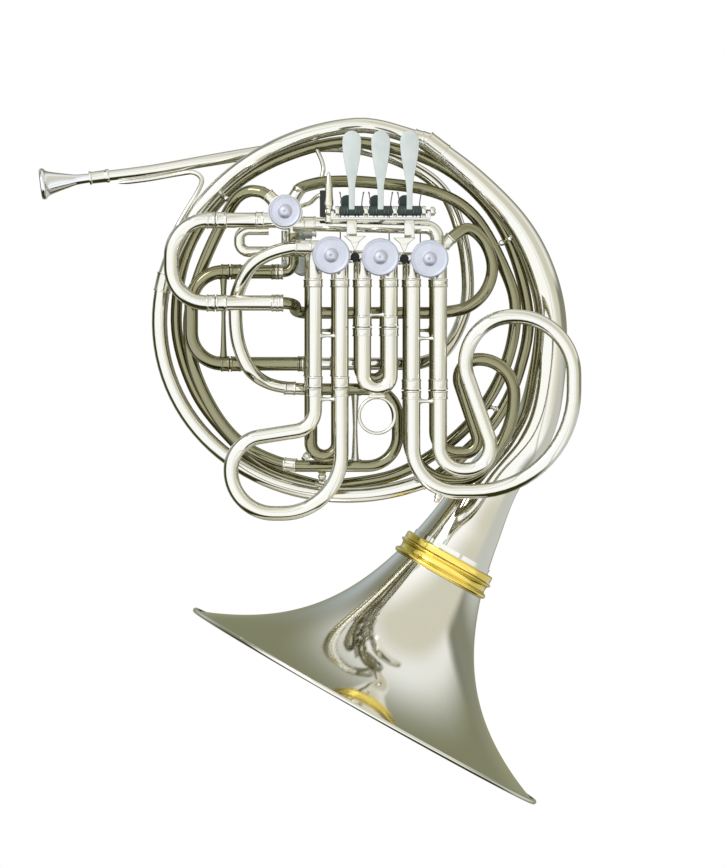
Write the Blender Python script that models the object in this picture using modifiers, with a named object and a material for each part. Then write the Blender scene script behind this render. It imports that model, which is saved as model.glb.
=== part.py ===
"""Double French horn in F / B-flat: detachable bell, four rotary valves, eight pull slides.

Axes: +X to the player's right across the wrap, +Z up, the valve caps face -Y.
The origin is the middle of the body coil. All sizes below are millimetres.
"""
import math

import bmesh
import bpy
from mathutils import Matrix, Vector

for old in list(bpy.data.objects):
    bpy.data.objects.remove(old, do_unlink=True)

MM = 0.001

# Overall sizes; the plan of every tube run is drawn for this coil and scales with it
PLAN_LONG = 158.8
PLAN_SHORT = 144.1
COIL_HALF_LONG = 158.8
COIL_HALF_SHORT = 144.1
COIL_TILT = math.radians(20.0)
COIL_START = 70.0
COIL_SETTLE = 91.0
COIL_END = 292.0
COIL_ENTRY_INSET = 6.5

# Bell
BELL_RADIUS = 155.5
BELL_LENGTH = 127.0
BELL_THROAT = 36.0
BELL_FLARE_DEPTH = 105.0
BELL_LEAN = math.radians(29.5)
BELL_WALL = 0.5
BELL_RIM_WIDTH = 3.2
BELL_RIM_THICK = 2.2
RING_X = 66.6
RING_Z = -203.0
BELL_Y = 29.0
RING_R = 40.2
RING_GROOVE_R = 38.3
SPIGOT_STEP = 0.8
TAIL_STEP = 2.0
TAIL_STOP = 10.0

# Tubing: outer radii and wall
WALL = 0.55
COIL_R = 6.1
INNER_R = 4.5
BRANCH_R = 5.4
F_R = 5.8
B_R = 5.1
RUN_R = 4.7
BOW_R = 4.2
LEAD_R = 4.9
LEAD_TIP_R = 4.1
MAIN_R = 6.0
GUARD_R = 1.8
STRUT_R = 1.8

# Mouthpiece
SHANK_R = 3.0
CUP_RIM_R = 12.4
CUP_DEPTH = 27.0
CUP_LENGTH = 53.0
RECEIVER_LENGTH = 14.0

# Fits
GAP = 0.35
SLIDE_CLEAR = 0.12
ROTOR_CLEAR = 0.3
PIN_CLEAR = 0.25
PIPE_SIDES = 8
FACET = math.cos(math.pi / PIPE_SIDES)

# Depth of each layer of tubing
F_LEVEL = -52.0
MAIN_LEVEL = -39.5
B_LEVEL = -28.0
BRANCH_LEVEL = -26.5
BOW_LEVEL = -23.0
ELBOW_LEVEL = -19.0
BACK_LEVEL = -13.0
COIL_LEVEL = 0.0
INNER_LEVEL = 9.5
LEAD_LEVEL = 12.5
LEAD_BACK = 21.0

# Rotary valves
VALVE_X = -21.7
VALVE_Z = 42.0
VALVE_PITCH = 38.5
VALVE_DROP = 1.4
CHANGE_X = -57.9
CHANGE_Z = 76.4
CASE_R = 13.0
CHAMBER_R = 10.8
CASE_FRONT = -63.0
CASE_BACK = -13.0
CASE_FLOOR = 4.0
CAP_R = 14.8
CHANGE_CAP_SHARE = 0.86
CAP_THICK = 5.5
CAP_SKIRT = 2.0
NIPPLE_R = 4.4
NIPPLE_OUT = 2.6
SPINDLE_R = 2.6
SPINDLE_OUT = 11.0
ARM_HUB_R = 7.0
ARM_HUB_LENGTH = 7.0
ARM_GROOVE = 1.6
ARM_OUT = 2.4
LUG_HALF = 1.8
LUG_REACH = 3.5
PORT_IN = 9.0
PORT_OUT = 17.0
SIDE_PORT = 15.5
BRIDGE_SHIFT = 3.0
LEG_HALF = 10.45
LEG_SHIFT = -2.6
LEG_SHIFT_B = -5.6
STUB_END = 24.0

# Slides: where sleeves end, how far the legs reach up inside them, and the crooks
F1_SLEEVE_END = -61.0
F2_SLEEVE_END = -13.5
F3_SLEEVE_END = -63.0
B1_SLEEVE_END = -45.0
B2_SLEEVE_END = -13.5
B3_SLEEVE_END = -63.0
LEG_SHORT = 9.0
LEG_SHORT_BACK = 3.0
CROOK_GAP = 0.5
F1_LOBE_X = -100.2
F1_LOBE_TOP = -103.4
F1_LOBE_LOW = -159.9
F2_BOTTOM = -62.0
F3_LOOP_X = 168.4
F3_LOOP_TOP = -5.7
F3_LOOP_LOW = -142.7
F3_BOW_LOW = -125.9
B1_BOTTOM = -115.0
B2_BOTTOM = -55.0
B3_LOOP_X = 121.8
B3_LOOP_TOP = -39.1
B3_LOOP_LOW = -134.3
B3_BOW_LOW = -112.6
RING_PULL_R = 14.0
RING_WIRE_R = 1.3
MAIN_LOW = 5.0
MAIN_BOW_X = -147.0
MAIN_SLEEVE_END = -112.0
MAIN_START = -62.0
TUNE_HIGH = 29.9
TUNE_LOW = -42.5
TUNE_BOW_X = -132.0
TUNE_SLEEVE_END = -101.0
TUNE_START = -41.6
ELBOW_OUT = 11.0

# Levers
ROD_Z = 76.4
ROD_Y = -60.0
ROD_R = 1.5
BARREL_R = 3.4
LEVER_PITCH = 22.6
LEVER_GAP = 4.0
LEVER_X = -5.6
SPATULA_TOP = 141.0
SPATULA_W = 14.8
NECK_W = 4.6
SPATULA_T = 1.8
ARM_WIRE_R = 1.9
ARM_BACK = 0.0
ARM_RISE = 3.0
SADDLE_DROP = 6.6
SADDLE_THICK = 1.8
FOOT_HALF = 3.0
POST_W = 2.4
THUMB_Y = 26.0
THUMB_Z = 60.0
THUMB_HALF = 8.0
THUMB_POST_R = 2.4

body = bpy.data.collections.new("french_horn")
helpers = bpy.data.collections.new("cutters")
bpy.context.scene.collection.children.link(body)
bpy.context.scene.collection.children.link(helpers)

SILVER = (0.78, 0.76, 0.68)
SATIN = (0.70, 0.72, 0.76)
GOLD = (0.83, 0.62, 0.22)
DARK = (0.05, 0.05, 0.06)


def material(name, color, metallic=1.0, rough=0.25):
    mat = bpy.data.materials.new(name)
    mat.use_nodes = True
    shader = mat.node_tree.nodes["Principled BSDF"]
    shader.inputs["Base Color"].default_value = (*color, 1.0)
    shader.inputs["Metallic"].default_value = metallic
    shader.inputs["Roughness"].default_value = rough
    return mat


def add(name, mesh, color=SILVER, metallic=1.0, rough=0.25, target=body):
    obj = bpy.data.objects.new(name, mesh)
    target.objects.link(obj)
    mesh.materials.clear()
    mesh.materials.append(material(name, color, metallic, rough))
    return obj


def bake(obj):
    """Apply an object's modifiers and place; return the bare mesh."""
    bpy.context.view_layer.update()
    graph = bpy.context.evaluated_depsgraph_get()
    mesh = bpy.data.meshes.new_from_object(obj.evaluated_get(graph))
    mesh.transform(obj.matrix_world)
    bpy.data.objects.remove(obj, do_unlink=True)
    return mesh


def vec(x, y, z):
    return Vector((x, y, z))


def bends(corners, step=30.0):
    """Points of a pipe run: straight between corners, an arc of the given radius at each."""
    pts = [Vector(corners[0][:3])]
    for i in range(1, len(corners) - 1):
        prev, here, nxt = (Vector(corners[j][:3]) for j in (i - 1, i, i + 1))
        radius = corners[i][3] if len(corners[i]) > 3 else 0.0
        a = (prev - here).normalized()
        b = (nxt - here).normalized()
        turn = math.pi - a.angle(b)
        if radius <= 0.0 or turn < 1e-3:
            pts.append(here)
            continue
        reach = radius * math.tan(turn / 2)
        centre = here + (a + b).normalized() * (radius / math.cos(turn / 2))
        start = here + a * reach
        arm = start - centre
        axis = (-a).cross(b).normalized()
        count = max(1, round(math.degrees(turn) / step))
        for k in range(count + 1):
            pts.append(centre + Matrix.Rotation(turn * k / count, 3, axis) @ arm)
    pts.append(Vector(corners[-1][:3]))
    return pts


def turn(start, end, inset, depth, count):
    """Part of a coil turn: inset and depth are (at start, at end); angles from +X."""
    pts = []
    for k in range(count + 1):
        f = k / count
        ang = math.radians(start + (end - start) * f)
        soft = f * f * (3 - 2 * f)
        inn = inset[0] + (inset[1] - inset[0]) * soft
        y = depth[0] + (depth[1] - depth[0]) * soft
        a, b = PLAN_LONG - inn, PLAN_SHORT - inn
        t = ang - COIL_TILT
        r = a * b / math.hypot(b * math.cos(t), a * math.sin(t))
        pts.append(vec(r * math.cos(ang) * WIDE, y, r * math.sin(ang) * TALL))
    return pts


def sweep(pts, radii, sides=2, closed_ends=False):
    """Mesh of a round pipe along points (mm) with one outer radius per point (mm)."""
    if not hasattr(radii, "__len__"):
        radii = [radii] * len(pts)
    curve = bpy.data.curves.new("run", "CURVE")
    curve.dimensions = "3D"
    curve.bevel_depth = MM
    curve.bevel_resolution = sides
    curve.use_fill_caps = closed_ends
    line = curve.splines.new("POLY")
    line.points.add(len(pts) - 1)
    for point, place, radius in zip(line.points, pts, radii):
        point.co = (*(place * MM), 1.0)
        point.radius = radius
    obj = bpy.data.objects.new("run", curve)
    helpers.objects.link(obj)
    mesh = bake(obj)
    bpy.data.curves.remove(curve)
    bm = bmesh.new()
    bm.from_mesh(mesh)
    bmesh.ops.remove_doubles(bm, verts=bm.verts, dist=1e-6)
    bmesh.ops.recalc_face_normals(bm, faces=bm.faces)
    bm.to_mesh(mesh)
    bm.free()
    return mesh


def pipe(name, pts, radii, color=SILVER, wall=WALL, sides=2, target=body):
    """Open-ended hollow tube with the given outer radius."""
    obj = add(name, sweep(pts, radii, sides), color, target=target)
    thick = obj.modifiers.new("wall", "SOLIDIFY")
    thick.thickness = wall * MM
    thick.offset = -1.0
    thick.use_even_offset = True
    smooth(obj)
    return obj


def rod(name, a, b, radius, color=SILVER, sides=12, target=body):
    """Solid round bar between two points (mm)."""
    a, b = Vector(a), Vector(b)
    mesh = bpy.data.meshes.new(name)
    bm = bmesh.new()
    bmesh.ops.create_cone(bm, cap_ends=True, segments=sides, radius1=radius * MM,
                          radius2=radius * MM, depth=(b - a).length * MM)
    spin = Vector((0, 0, 1)).rotation_difference((b - a).normalized()).to_matrix().to_4x4()
    bm.transform(Matrix.Translation((a + b) / 2 * MM) @ spin)
    bm.to_mesh(mesh)
    bm.free()
    return add(name, mesh, color, target=target)


def box(name, low, high, color=SILVER, target=body):
    low, high = Vector(low) * MM, Vector(high) * MM
    mesh = bpy.data.meshes.new(name)
    bm = bmesh.new()
    bmesh.ops.create_cube(bm, size=1.0, matrix=Matrix.Translation((low + high) / 2)
                          @ Matrix.Diagonal((*(high - low), 1.0)))
    bm.to_mesh(mesh)
    bm.free()
    return add(name, mesh, color, target=target)


def turned(name, profile, origin, axis, color=SILVER, steps=24, target=body, rough=0.25):
    """Ring or disc turned from a closed (radius, height) outline about an axis (mm)."""
    mesh = bpy.data.meshes.new(name)
    ring = [(r * MM, 0.0, h * MM) for r, h in profile]
    solid_core = profile[0][0] == 0.0 and profile[-1][0] == 0.0
    count = len(ring)
    edges = [(i, i + 1) for i in range(count - 1)]
    if not solid_core:
        edges.append((count - 1, 0))
    mesh.from_pydata(ring, edges, [])
    tmp = bpy.data.objects.new(name, mesh)
    helpers.objects.link(tmp)
    lathe = tmp.modifiers.new("lathe", "SCREW")
    lathe.axis = "Z"
    lathe.angle = math.tau
    lathe.steps = steps
    lathe.render_steps = steps
    lathe.use_merge_vertices = True
    lathe.merge_threshold = 1e-6
    out = bake(tmp)
    bm = bmesh.new()
    bm.from_mesh(out)
    bmesh.ops.remove_doubles(bm, verts=bm.verts, dist=1e-6)
    bmesh.ops.recalc_face_normals(bm, faces=bm.faces)
    bm.to_mesh(out)
    bm.free()
    spin = Vector((0, 0, 1)).rotation_difference(Vector(axis).normalized()).to_matrix().to_4x4()
    out.transform(Matrix.Translation(Vector(origin) * MM) @ spin)
    obj = add(name, out, color, rough=rough, target=target)
    smooth(obj)
    return obj


def smooth(obj):
    obj.data.shade_smooth()
    obj.data.set_sharp_from_angle(angle=math.radians(35))


def carve(obj, tool, operation, solver="EXACT"):
    """Join a tool object to a piece, or cut it away."""
    if tool.name not in helpers.objects:
        helpers.objects.link(tool)
        body.objects.unlink(tool)
    tool.hide_render = True
    tool.display_type = "WIRE"
    step = obj.modifiers.new(operation.lower(), "BOOLEAN")
    step.operation = operation
    step.solver = solver
    step.object = tool


def gather(name, tools):
    """One tool made of several separate solids."""
    mesh = bpy.data.meshes.new(name)
    bm = bmesh.new()
    for tool in tools:
        part = bake(tool)
        bm.from_mesh(part)
    bm.to_mesh(mesh)
    bm.free()
    return add(name, mesh, target=helpers)


def seat(obj, at):
    """Give a moving piece its origin on its joint's axis, without moving the piece."""
    obj.data.transform(Matrix.Translation(Vector(at) * -MM))
    obj.location = Vector(at) * MM
    return obj


def glide(stations, per=3):
    """Smooth centreline through the stations (x, y, z or x, y, z, radius)."""
    size = len(stations[0])
    pts = []
    for i in range(len(stations) - 1):
        p0 = stations[max(i - 1, 0)]
        p1, p2 = stations[i], stations[i + 1]
        p3 = stations[min(i + 2, len(stations) - 1)]
        for k in range(per):
            t = k / per
            pts.append([0.5 * (2 * p1[j] + (p2[j] - p0[j]) * t
                               + (2 * p0[j] - 5 * p1[j] + 4 * p2[j] - p3[j]) * t * t
                               + (3 * p1[j] - p0[j] - 3 * p2[j] + p3[j]) * t ** 3)
                        for j in range(size)])
    pts.append(list(stations[-1]))
    if size == 3:
        return [Vector(p) for p in pts]
    return [Vector(p[:3]) for p in pts], [p[3] for p in pts]


# ---------------------------------------------------------------- coil and branches
WIDE = COIL_HALF_LONG / PLAN_LONG
TALL = COIL_HALF_SHORT / PLAN_SHORT


def plan(stations):
    """Scale the stations of a run with the coil."""
    return [(s[0] * WIDE, s[1], s[2] * TALL, *s[3:]) for s in stations]


BELL_DIR = vec(-math.sin(BELL_LEAN), 0.0, -math.cos(BELL_LEAN))
RING_AT = vec(RING_X * WIDE, BELL_Y, RING_Z * TALL)
TAIL_END = RING_AT - BELL_DIR * TAIL_STOP
TAIL_NEAR = RING_AT - BELL_DIR * 34.0
TAIL_R = BELL_THROAT - TAIL_STEP

outer = turn(COIL_START, COIL_SETTLE, (COIL_ENTRY_INSET, 0.0), (COIL_LEVEL, COIL_LEVEL), 3)[:-1]
outer += turn(COIL_SETTLE, COIL_END, (0.0, 0.0), (COIL_LEVEL, COIL_LEVEL), 13)
pipe("coil_outer_turn", outer, COIL_R)

second = plan([(82.0, 4.0, -114.0), (109.0, 7.0, -85.0),
               (127.0, INNER_LEVEL, -46.0), (133.2, INNER_LEVEL, 0.0),
               (115.0, INNER_LEVEL + 0.6, 61.5), (79.6, INNER_LEVEL + 0.6, 104.0),
               (32.3, INNER_LEVEL, 126.5), (-22.9, INNER_LEVEL, 131.6),
               (-89.8, INNER_LEVEL, 104.8), (-132.0, INNER_LEVEL, 54.0),
               (-144.2, INNER_LEVEL, -7.9), (-131.0, INNER_LEVEL, -60.0),
               (-105.0, INNER_LEVEL, -97.0), (-72.0, INNER_LEVEL, -125.0),
               (-30.7, INNER_LEVEL, -138.5)])
start = outer[-1]
heading = (start - outer[-2]).normalized()
route = glide([tuple(start + heading * 1.2), tuple(start + heading * 9.0)] + second, 1)
blend = min(3, len(route))
radii = [COIL_R + (INNER_R - COIL_R) * min(1.0, k / blend) for k in range(len(route))]
pipe("coil_second_turn", route, radii)

third = plan([(-26.0, INNER_LEVEL, -139.0), (28.0, INNER_LEVEL, -130.0),
              (71.7, 6.0, -104.0), (100.9, 2.0, -72.0), (118.0, 0.0, -36.0),
              (123.3, 0.0, 0.8), (115.0, 0.0, 31.5), (90.6, 0.0, 74.1),
              (58.0, 0.0, 93.5), (8.7, -2.0, 100.5), (-22.9, -10.0, 100.9),
              (-37.0, -20.0, 98.5)])
change = vec(CHANGE_X * WIDE, B_LEVEL, CHANGE_Z * TALL)
up_right = vec(0.53, 0.0, 0.848)
third += [tuple(change + up_right * (PORT_OUT + 5.0)), tuple(change + up_right * (PORT_OUT + GAP))]
pipe("coil_third_turn", glide(third, 1), RUN_R)

onward = (outer[0] - outer[1]).normalized()
tail = [(*(outer[0] + onward * 5.0), COIL_R + 0.8)]
tail += plan([(88.8, -1.4, 105.2, 8.6), (122.0, -0.8, 70.5, 9.9), (141.0, 2.4, 36.0, 11.4),
              (151.0, 6.0, -4.0, 12.3), (148.0, 13.0, -52.0, 14.8), (136.5, 20.0, -94.6, 17.5)])
tail += [(*(RING_AT - BELL_DIR * 80.0), 22.3), (*TAIL_NEAR, 29.0), (*TAIL_END, TAIL_R)]
path, radii = glide(tail, 2)
path, radii = [outer[0] + onward * GAP] + path, [COIL_R + 0.8] + radii
pipe("bell_tail", path, radii, sides=4)

lead = plan([(-199.0, LEAD_LEVEL, 106.0, LEAD_TIP_R), (-164.7, LEAD_LEVEL, 110.3, 4.3),
             (-125.3, LEAD_LEVEL + 1, 117.0, 4.6), (-85.9, LEAD_LEVEL + 6, 123.7, LEAD_R),
             (-45.0, LEAD_BACK, 129.5, LEAD_R), (0.0, LEAD_BACK, 128.0, LEAD_R),
             (40.2, LEAD_BACK, 114.3, LEAD_R), (68.0, LEAD_BACK, 92.0, LEAD_R),
             (82.0, LEAD_BACK, 55.0, LEAD_R), (86.0, 19.0, 15.8, LEAD_R),
             (79.6, 12.0, -11.8, LEAD_R), (66.0, -4.0, -34.0, LEAD_R),
             (46.0, BACK_LEVEL, TUNE_LOW, LEAD_R), (TUNE_START, BACK_LEVEL, TUNE_LOW, LEAD_R)])
path, radii = glide(lead, 1)
pipe("leadpipe", path, radii)

guard = glide(plan([(-190.0, LEAD_LEVEL, 100.4), (-165.0, LEAD_LEVEL, 103.6),
                    (-142.0, 11.5, 107.6), (-130.5, 8.0, 108.6), (-124.0, 3.0, 103.0),
                    (-127.0, -1.0, 93.6), (-135.0, -4.2, 80.0), (-143.0, -6.2, 66.0),
                    (-151.5, -6.8, 48.0)]), 2)
smooth(add("leadpipe_guard", sweep(guard, GUARD_R, 1, True)))

AXIS = (path[1] - path[0]).normalized()
MOUTH_AT = path[0]
socket_r = LEAD_TIP_R + GAP
turned("mouthpiece_receiver",
       [(socket_r, 2.0), (5.2, 2.0), (5.4, 0.0), (4.9, -1.5), (4.7, 2.0 - RECEIVER_LENGTH),
        (5.2, 1.5 - RECEIVER_LENGTH), (5.2, -RECEIVER_LENGTH), (SHANK_R + 1.0, -RECEIVER_LENGTH),
        (SHANK_R + 0.75, -GAP), (socket_r, -GAP)], MOUTH_AT, AXIS, SILVER, 12)
cup = turned("mouthpiece",
             [(1.9, 0.5), (SHANK_R, 0.5), (SHANK_R + 0.6, 1.0 - RECEIVER_LENGTH),
              (SHANK_R + 0.9, 3.0 - CUP_DEPTH), (4.6, -CUP_DEPTH), (7.2, -38.0), (9.6, -47.0),
              (CUP_RIM_R - 0.6, 4.0 - CUP_LENGTH), (CUP_RIM_R, 2.0 - CUP_LENGTH),
              (CUP_RIM_R - 0.8, -CUP_LENGTH), (CUP_RIM_R - 3.6, -CUP_LENGTH),
              (8.2, 2.0 - CUP_LENGTH), (6.4, -38.0), (2.2, 1.0 - CUP_DEPTH)],
             MOUTH_AT, AXIS, SATIN, 16, rough=0.1)
seat(cup, MOUTH_AT)

# ---------------------------------------------------------------- bell


def flare(d):
    """Outer radius of the bell at that depth behind its rim."""
    power = math.log(BELL_RADIUS / BELL_THROAT) / math.log(1 + BELL_LENGTH / BELL_FLARE_DEPTH)
    return BELL_RADIUS * (1 + d / BELL_FLARE_DEPTH) ** -power


fractions = (0.0, 0.17, 0.34, 0.5, 0.63, 0.75, 0.84, 0.91, 0.96)
outside = [(flare(BELL_LENGTH * (1 - f)), BELL_LENGTH * f) for f in fractions]
outside.append((BELL_RADIUS - 1.0, BELL_LENGTH - BELL_RIM_THICK))
inside = [(r - BELL_WALL * 1.4, h + BELL_WALL * 0.9) for r, h in outside]
inside[0] = (BELL_THROAT - BELL_WALL, 0.0)
rim = [(BELL_RADIUS, BELL_LENGTH - BELL_RIM_THICK), (BELL_RADIUS, BELL_LENGTH),
       (BELL_RADIUS - BELL_RIM_WIDTH, BELL_LENGTH)]
bell = turned("bell_flare", outside[:-1] + rim + inside[-2::-1], RING_AT, BELL_DIR, SILVER, 28)
seat(bell, RING_AT)

spigot_r = BELL_THROAT - SPIGOT_STEP
seat_r = BELL_THROAT + GAP
female = turned("bell_ring_female",
                [(spigot_r + GAP, -6.0), (RING_GROOVE_R, -6.0), (RING_R, -4.6), (RING_R, -3.0),
                 (RING_GROOVE_R, -1.0), (RING_GROOVE_R, 1.5), (RING_R, 3.5), (RING_R, 5.4),
                 (RING_GROOVE_R, 6.8), (seat_r + 2.4, 6.8), (seat_r + 1.0, -0.2),
                 (spigot_r + GAP, -0.2)], RING_AT, BELL_DIR, GOLD, 24)
seat(female, RING_AT)
male = turned("bell_ring_male",
              [(TAIL_R + GAP, -12.0), (37.4, -12.0), (RING_GROOVE_R, -10.5), (RING_GROOVE_R, -6.4),
               (spigot_r, -6.4), (spigot_r, -0.8), (TAIL_R - 1.0, -0.8), (TAIL_R - 1.0, -9.4),
               (TAIL_R + GAP, -9.4)], RING_AT, BELL_DIR, GOLD, 24)
seat(male, RING_AT)

# ---------------------------------------------------------------- valves


def valve_at(k):
    """Middle of a valve in plan; 0 is the change valve."""
    if k == 0:
        return vec(CHANGE_X * WIDE, 0.0, CHANGE_Z * TALL)
    step = k - 1
    return vec(VALVE_X * WIDE + VALVE_PITCH * step, 0.0, VALVE_Z * TALL - VALVE_DROP * step)


def tag_of(k):
    return str(k) if k else "change"


def leg_x(k, level, side):
    shift = LEG_SHIFT if level == F_LEVEL else LEG_SHIFT_B
    return valve_at(k).x + shift + side * LEG_HALF


def casing(k, ports):
    """Rotor casing; ports are (start, end, outer radius) in millimetres."""
    at = valve_at(k)
    shell = rod("valve_case_" + tag_of(k), (at.x, CASE_BACK, at.z), (at.x, CASE_FRONT, at.z),
                CASE_R, sides=16)
    for a, b, r in ports:
        carve(shell, rod("port", a, b, r, sides=PIPE_SIDES), "UNION", "MANIFOLD")
    bores = []
    for a, b, r in ports:
        past = Vector(b) + (Vector(b) - Vector(a)).normalized()
        bores.append(rod("bore", a, past, r - WALL * 1.3, sides=PIPE_SIDES))
    floor = CASE_BACK - CASE_FLOOR
    bores.append(rod("chamber", (at.x, floor, at.z), (at.x, CASE_FRONT - 1.0, at.z), CHAMBER_R,
                     sides=16))
    bores.append(rod("shaft", (at.x, CASE_BACK + 1.0, at.z), (at.x, floor - 1.0, at.z),
                     SPINDLE_R + PIN_CLEAR + 0.1, sides=12))
    for bore in bores:
        carve(shell, bore, "DIFFERENCE", "MANIFOLD")
    smooth(shell)


def cap(k):
    at = valve_at(k)
    reach = CAP_R if k else CAP_R * CHANGE_CAP_SHARE
    skirt = [(reach, GAP)]
    if k:
        skirt = [(reach, -CAP_SKIRT), (reach - 0.9, -CAP_SKIRT), (reach - 1.0, GAP)]
    turned("valve_cap_" + tag_of(k),
           [(0.0, CAP_THICK + NIPPLE_OUT), (1.6, CAP_THICK + NIPPLE_OUT), (2.2, CAP_THICK + 1.2),
            (NIPPLE_R, CAP_THICK), (reach - 1.2, CAP_THICK), (reach, CAP_THICK - 1.0),
            *skirt, (0.0, GAP)],
           (at.x, CASE_FRONT, at.z), (0, -1, 0), SATIN, 16)


def rotor(k):
    """Rotor with its through ways and spindle."""
    at = valve_at(k)
    wide = CHAMBER_R - ROTOR_CLEAR
    front = CASE_FRONT + 1.0
    back = CASE_BACK - CASE_FLOOR - 0.5
    tip = CASE_BACK + SPINDLE_OUT
    core = turned("rotor_" + tag_of(k),
                  [(0.0, front), (wide, front), (wide, back), (SPINDLE_R, back), (SPINDLE_R, tip),
                   (0.0, tip)], (at.x, 0.0, at.z), (0, 1, 0), SATIN, 16)
    span = CHAMBER_R * 1.5
    cuts = []
    for side in (-1, 1):
        x = at.x + side * CHAMBER_R
        for y in (F_LEVEL, B_LEVEL):
            cuts.append(rod("way", (x, y, at.z - span), (x, y, at.z + span), RUN_R,
                            sides=PIPE_SIDES))
    carve(core, gather("ways_%d" % k, cuts), "DIFFERENCE")
    seat(core, (at.x, 0.0, at.z))


def stop_arm(k):
    """String drum on the spindle, with the lug that meets the bumpers."""
    at = valve_at(k)
    neck = ARM_HUB_R - ARM_GROOVE
    bore = SPINDLE_R + GAP
    hub = turned("stop_arm_" + tag_of(k),
                 [(bore, 0.0), (ARM_HUB_R, 0.0), (ARM_HUB_R, 1.6), (neck, 2.4), (neck, 5.0),
                  (ARM_HUB_R, 5.8), (ARM_HUB_R, ARM_HUB_LENGTH), (bore, ARM_HUB_LENGTH)],
                 (at.x, CASE_BACK + ARM_OUT, at.z), (0, 1, 0), SATIN, 12)
    carve(hub, box("lug", (at.x - LUG_HALF, CASE_BACK + 2.7, at.z - ARM_HUB_R - LUG_REACH),
                   (at.x + LUG_HALF, CASE_BACK + 5.2, at.z - ARM_HUB_R + 1.5)), "UNION")
    seat(hub, (at.x, 0.0, at.z))


meet = VALVE_PITCH / 2 - BRIDGE_SHIFT
for k in (1, 2, 3):
    at = valve_at(k)
    ports = []
    for level, radius in ((F_LEVEL, F_R), (B_LEVEL, B_R)):
        for side in (-1, 1):
            x = leg_x(k, level, side)
            ports.append(((x, level, at.z - 1.5), (x, level, STUB_END * TALL), radius))
        drop = VALVE_DROP / 2
        if k > 1:
            z = at.z + drop
            ports.append(((at.x - PORT_IN, level, z), (at.x - VALVE_PITCH + meet + GAP, level, z),
                          RUN_R))
        if k < 3:
            z = at.z - drop
            ports.append(((at.x + PORT_IN, level, z), (at.x + meet, level, z), RUN_R))
    if k == 1:
        z = at.z + 6.5
        ports.append(((at.x - PORT_IN, F_LEVEL, z), (at.x - SIDE_PORT, F_LEVEL, z), BRANCH_R))
        z = at.z + 3.5
        ports.append(((at.x - PORT_IN, BOW_LEVEL, z), (at.x - SIDE_PORT, BOW_LEVEL, z), BOW_R))
    if k == 3:
        x, z = at.x + 6.0, at.z + 6.0
        ports.append(((x, MAIN_LEVEL, z), (x, MAIN_LEVEL, at.z + 14.5), BRANCH_R))
        ports.append(((x, B_LEVEL, z), (at.x + 13.0, B_LEVEL, at.z + 13.0), RUN_R))
    casing(k, ports)

at = valve_at(0)
casing(0, [((at.x + 8.0, MAIN_LEVEL, at.z - 9.5), (at.x + 15.0, MAIN_LEVEL, at.z - 9.5), BRANCH_R),
           ((at.x - 8.0, MAIN_LEVEL, at.z - 6.5), (at.x - 16.5, MAIN_LEVEL, at.z - 6.5), MAIN_R),
           ((at.x - 5.5, B_LEVEL, at.z + 5.5), (at.x - 10.5, B_LEVEL, at.z + 10.5), RUN_R),
           (tuple(change + up_right * PORT_IN), tuple(change + up_right * PORT_OUT), RUN_R),
           ((at.x + 6.5, ELBOW_LEVEL, at.z - 8.0), (at.x + 6.5, ELBOW_LEVEL, at.z - 16.0), BOW_R)])
for k in (0, 1, 2, 3):
    cap(k)
    rotor(k)
    stop_arm(k)

# ---------------------------------------------------------------- fixed runs between the valves
at = valve_at(0)
start = vec(at.x - 10.5, B_LEVEL, at.z + 10.5)
way = vec(-0.7, 0.0, 0.7)
f_return = [start + way * GAP, start + way * 2.5] + glide(plan([
    (-76.4, -27.0, 92.4), (-86.5, -24.0, 93.0), (-97.0, -18.0, 86.5), (-109.0, -7.0, 66.0),
    (-121.5, 0.0, 39.0), (-130.5, 0.0, 12.0), (-134.0, 0.0, -14.0), (-129.5, 0.0, -47.0),
    (-113.0, 0.0, -82.0), (-92.0, -2.0, -105.8), (-66.2, -6.0, -119.0)]), 1)
f_return += bends(plan([(-48.0, -10.0, -122.9), (-7.0, BACK_LEVEL, -122.9),
                        (30.5, BACK_LEVEL, -122.9, 24.0), (30.5, BACK_LEVEL, -62.5, 22.0),
                        (-30.0, BACK_LEVEL, -62.5)]))
pipe("f_return_run", f_return, RUN_R)

at = valve_at(1)
f_branch = plan([(-31.0, BACK_LEVEL, -62.5), (-52.0, BACK_LEVEL - 2, -61.8),
                 (-72.0, -19.0, -57.5), (-86.0, BRANCH_LEVEL, -46.5),
                 (-94.5, BRANCH_LEVEL, -27.0), (-97.0, BRANCH_LEVEL, -5.0),
                 (-95.5, BRANCH_LEVEL - 2, 12.0), (-86.0, -40.0, 32.0), (-72.0, -46.0, 42.6)])
branch = glide(f_branch, 1) + [vec(at.x - 30.0, F_LEVEL, at.z + 6.5),
                               vec(at.x - SIDE_PORT - GAP, F_LEVEL, at.z + 6.5)]
pipe("f_branch_run", branch, [RUN_R] * 3 + [BRANCH_R] * (len(branch) - 3))

at = valve_at(0)
low = valve_at(1)
bow_x = at.x - 36.0
high_z = at.z - 13.5
pipe("small_bow", bends([(low.x - SIDE_PORT - GAP, BOW_LEVEL, low.z + 3.5),
                         (bow_x, BOW_LEVEL, low.z + 3.5, 7.5), (bow_x, BOW_LEVEL, high_z, 7.5),
                         (at.x - 13.0, BOW_LEVEL, high_z)]), BOW_R)

elbow_x = at.x + 6.5
pipe("elbow", bends([(elbow_x - ELBOW_OUT, BACK_LEVEL, TUNE_HIGH * TALL),
                     (elbow_x, BACK_LEVEL, TUNE_HIGH * TALL, 8.0),
                     (elbow_x, BACK_LEVEL, at.z - 27.4, 8.0),
                     (elbow_x, ELBOW_LEVEL, at.z - 21.4, 8.0),
                     (elbow_x, ELBOW_LEVEL, at.z - 16.0 - GAP)]), BOW_R)

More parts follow.
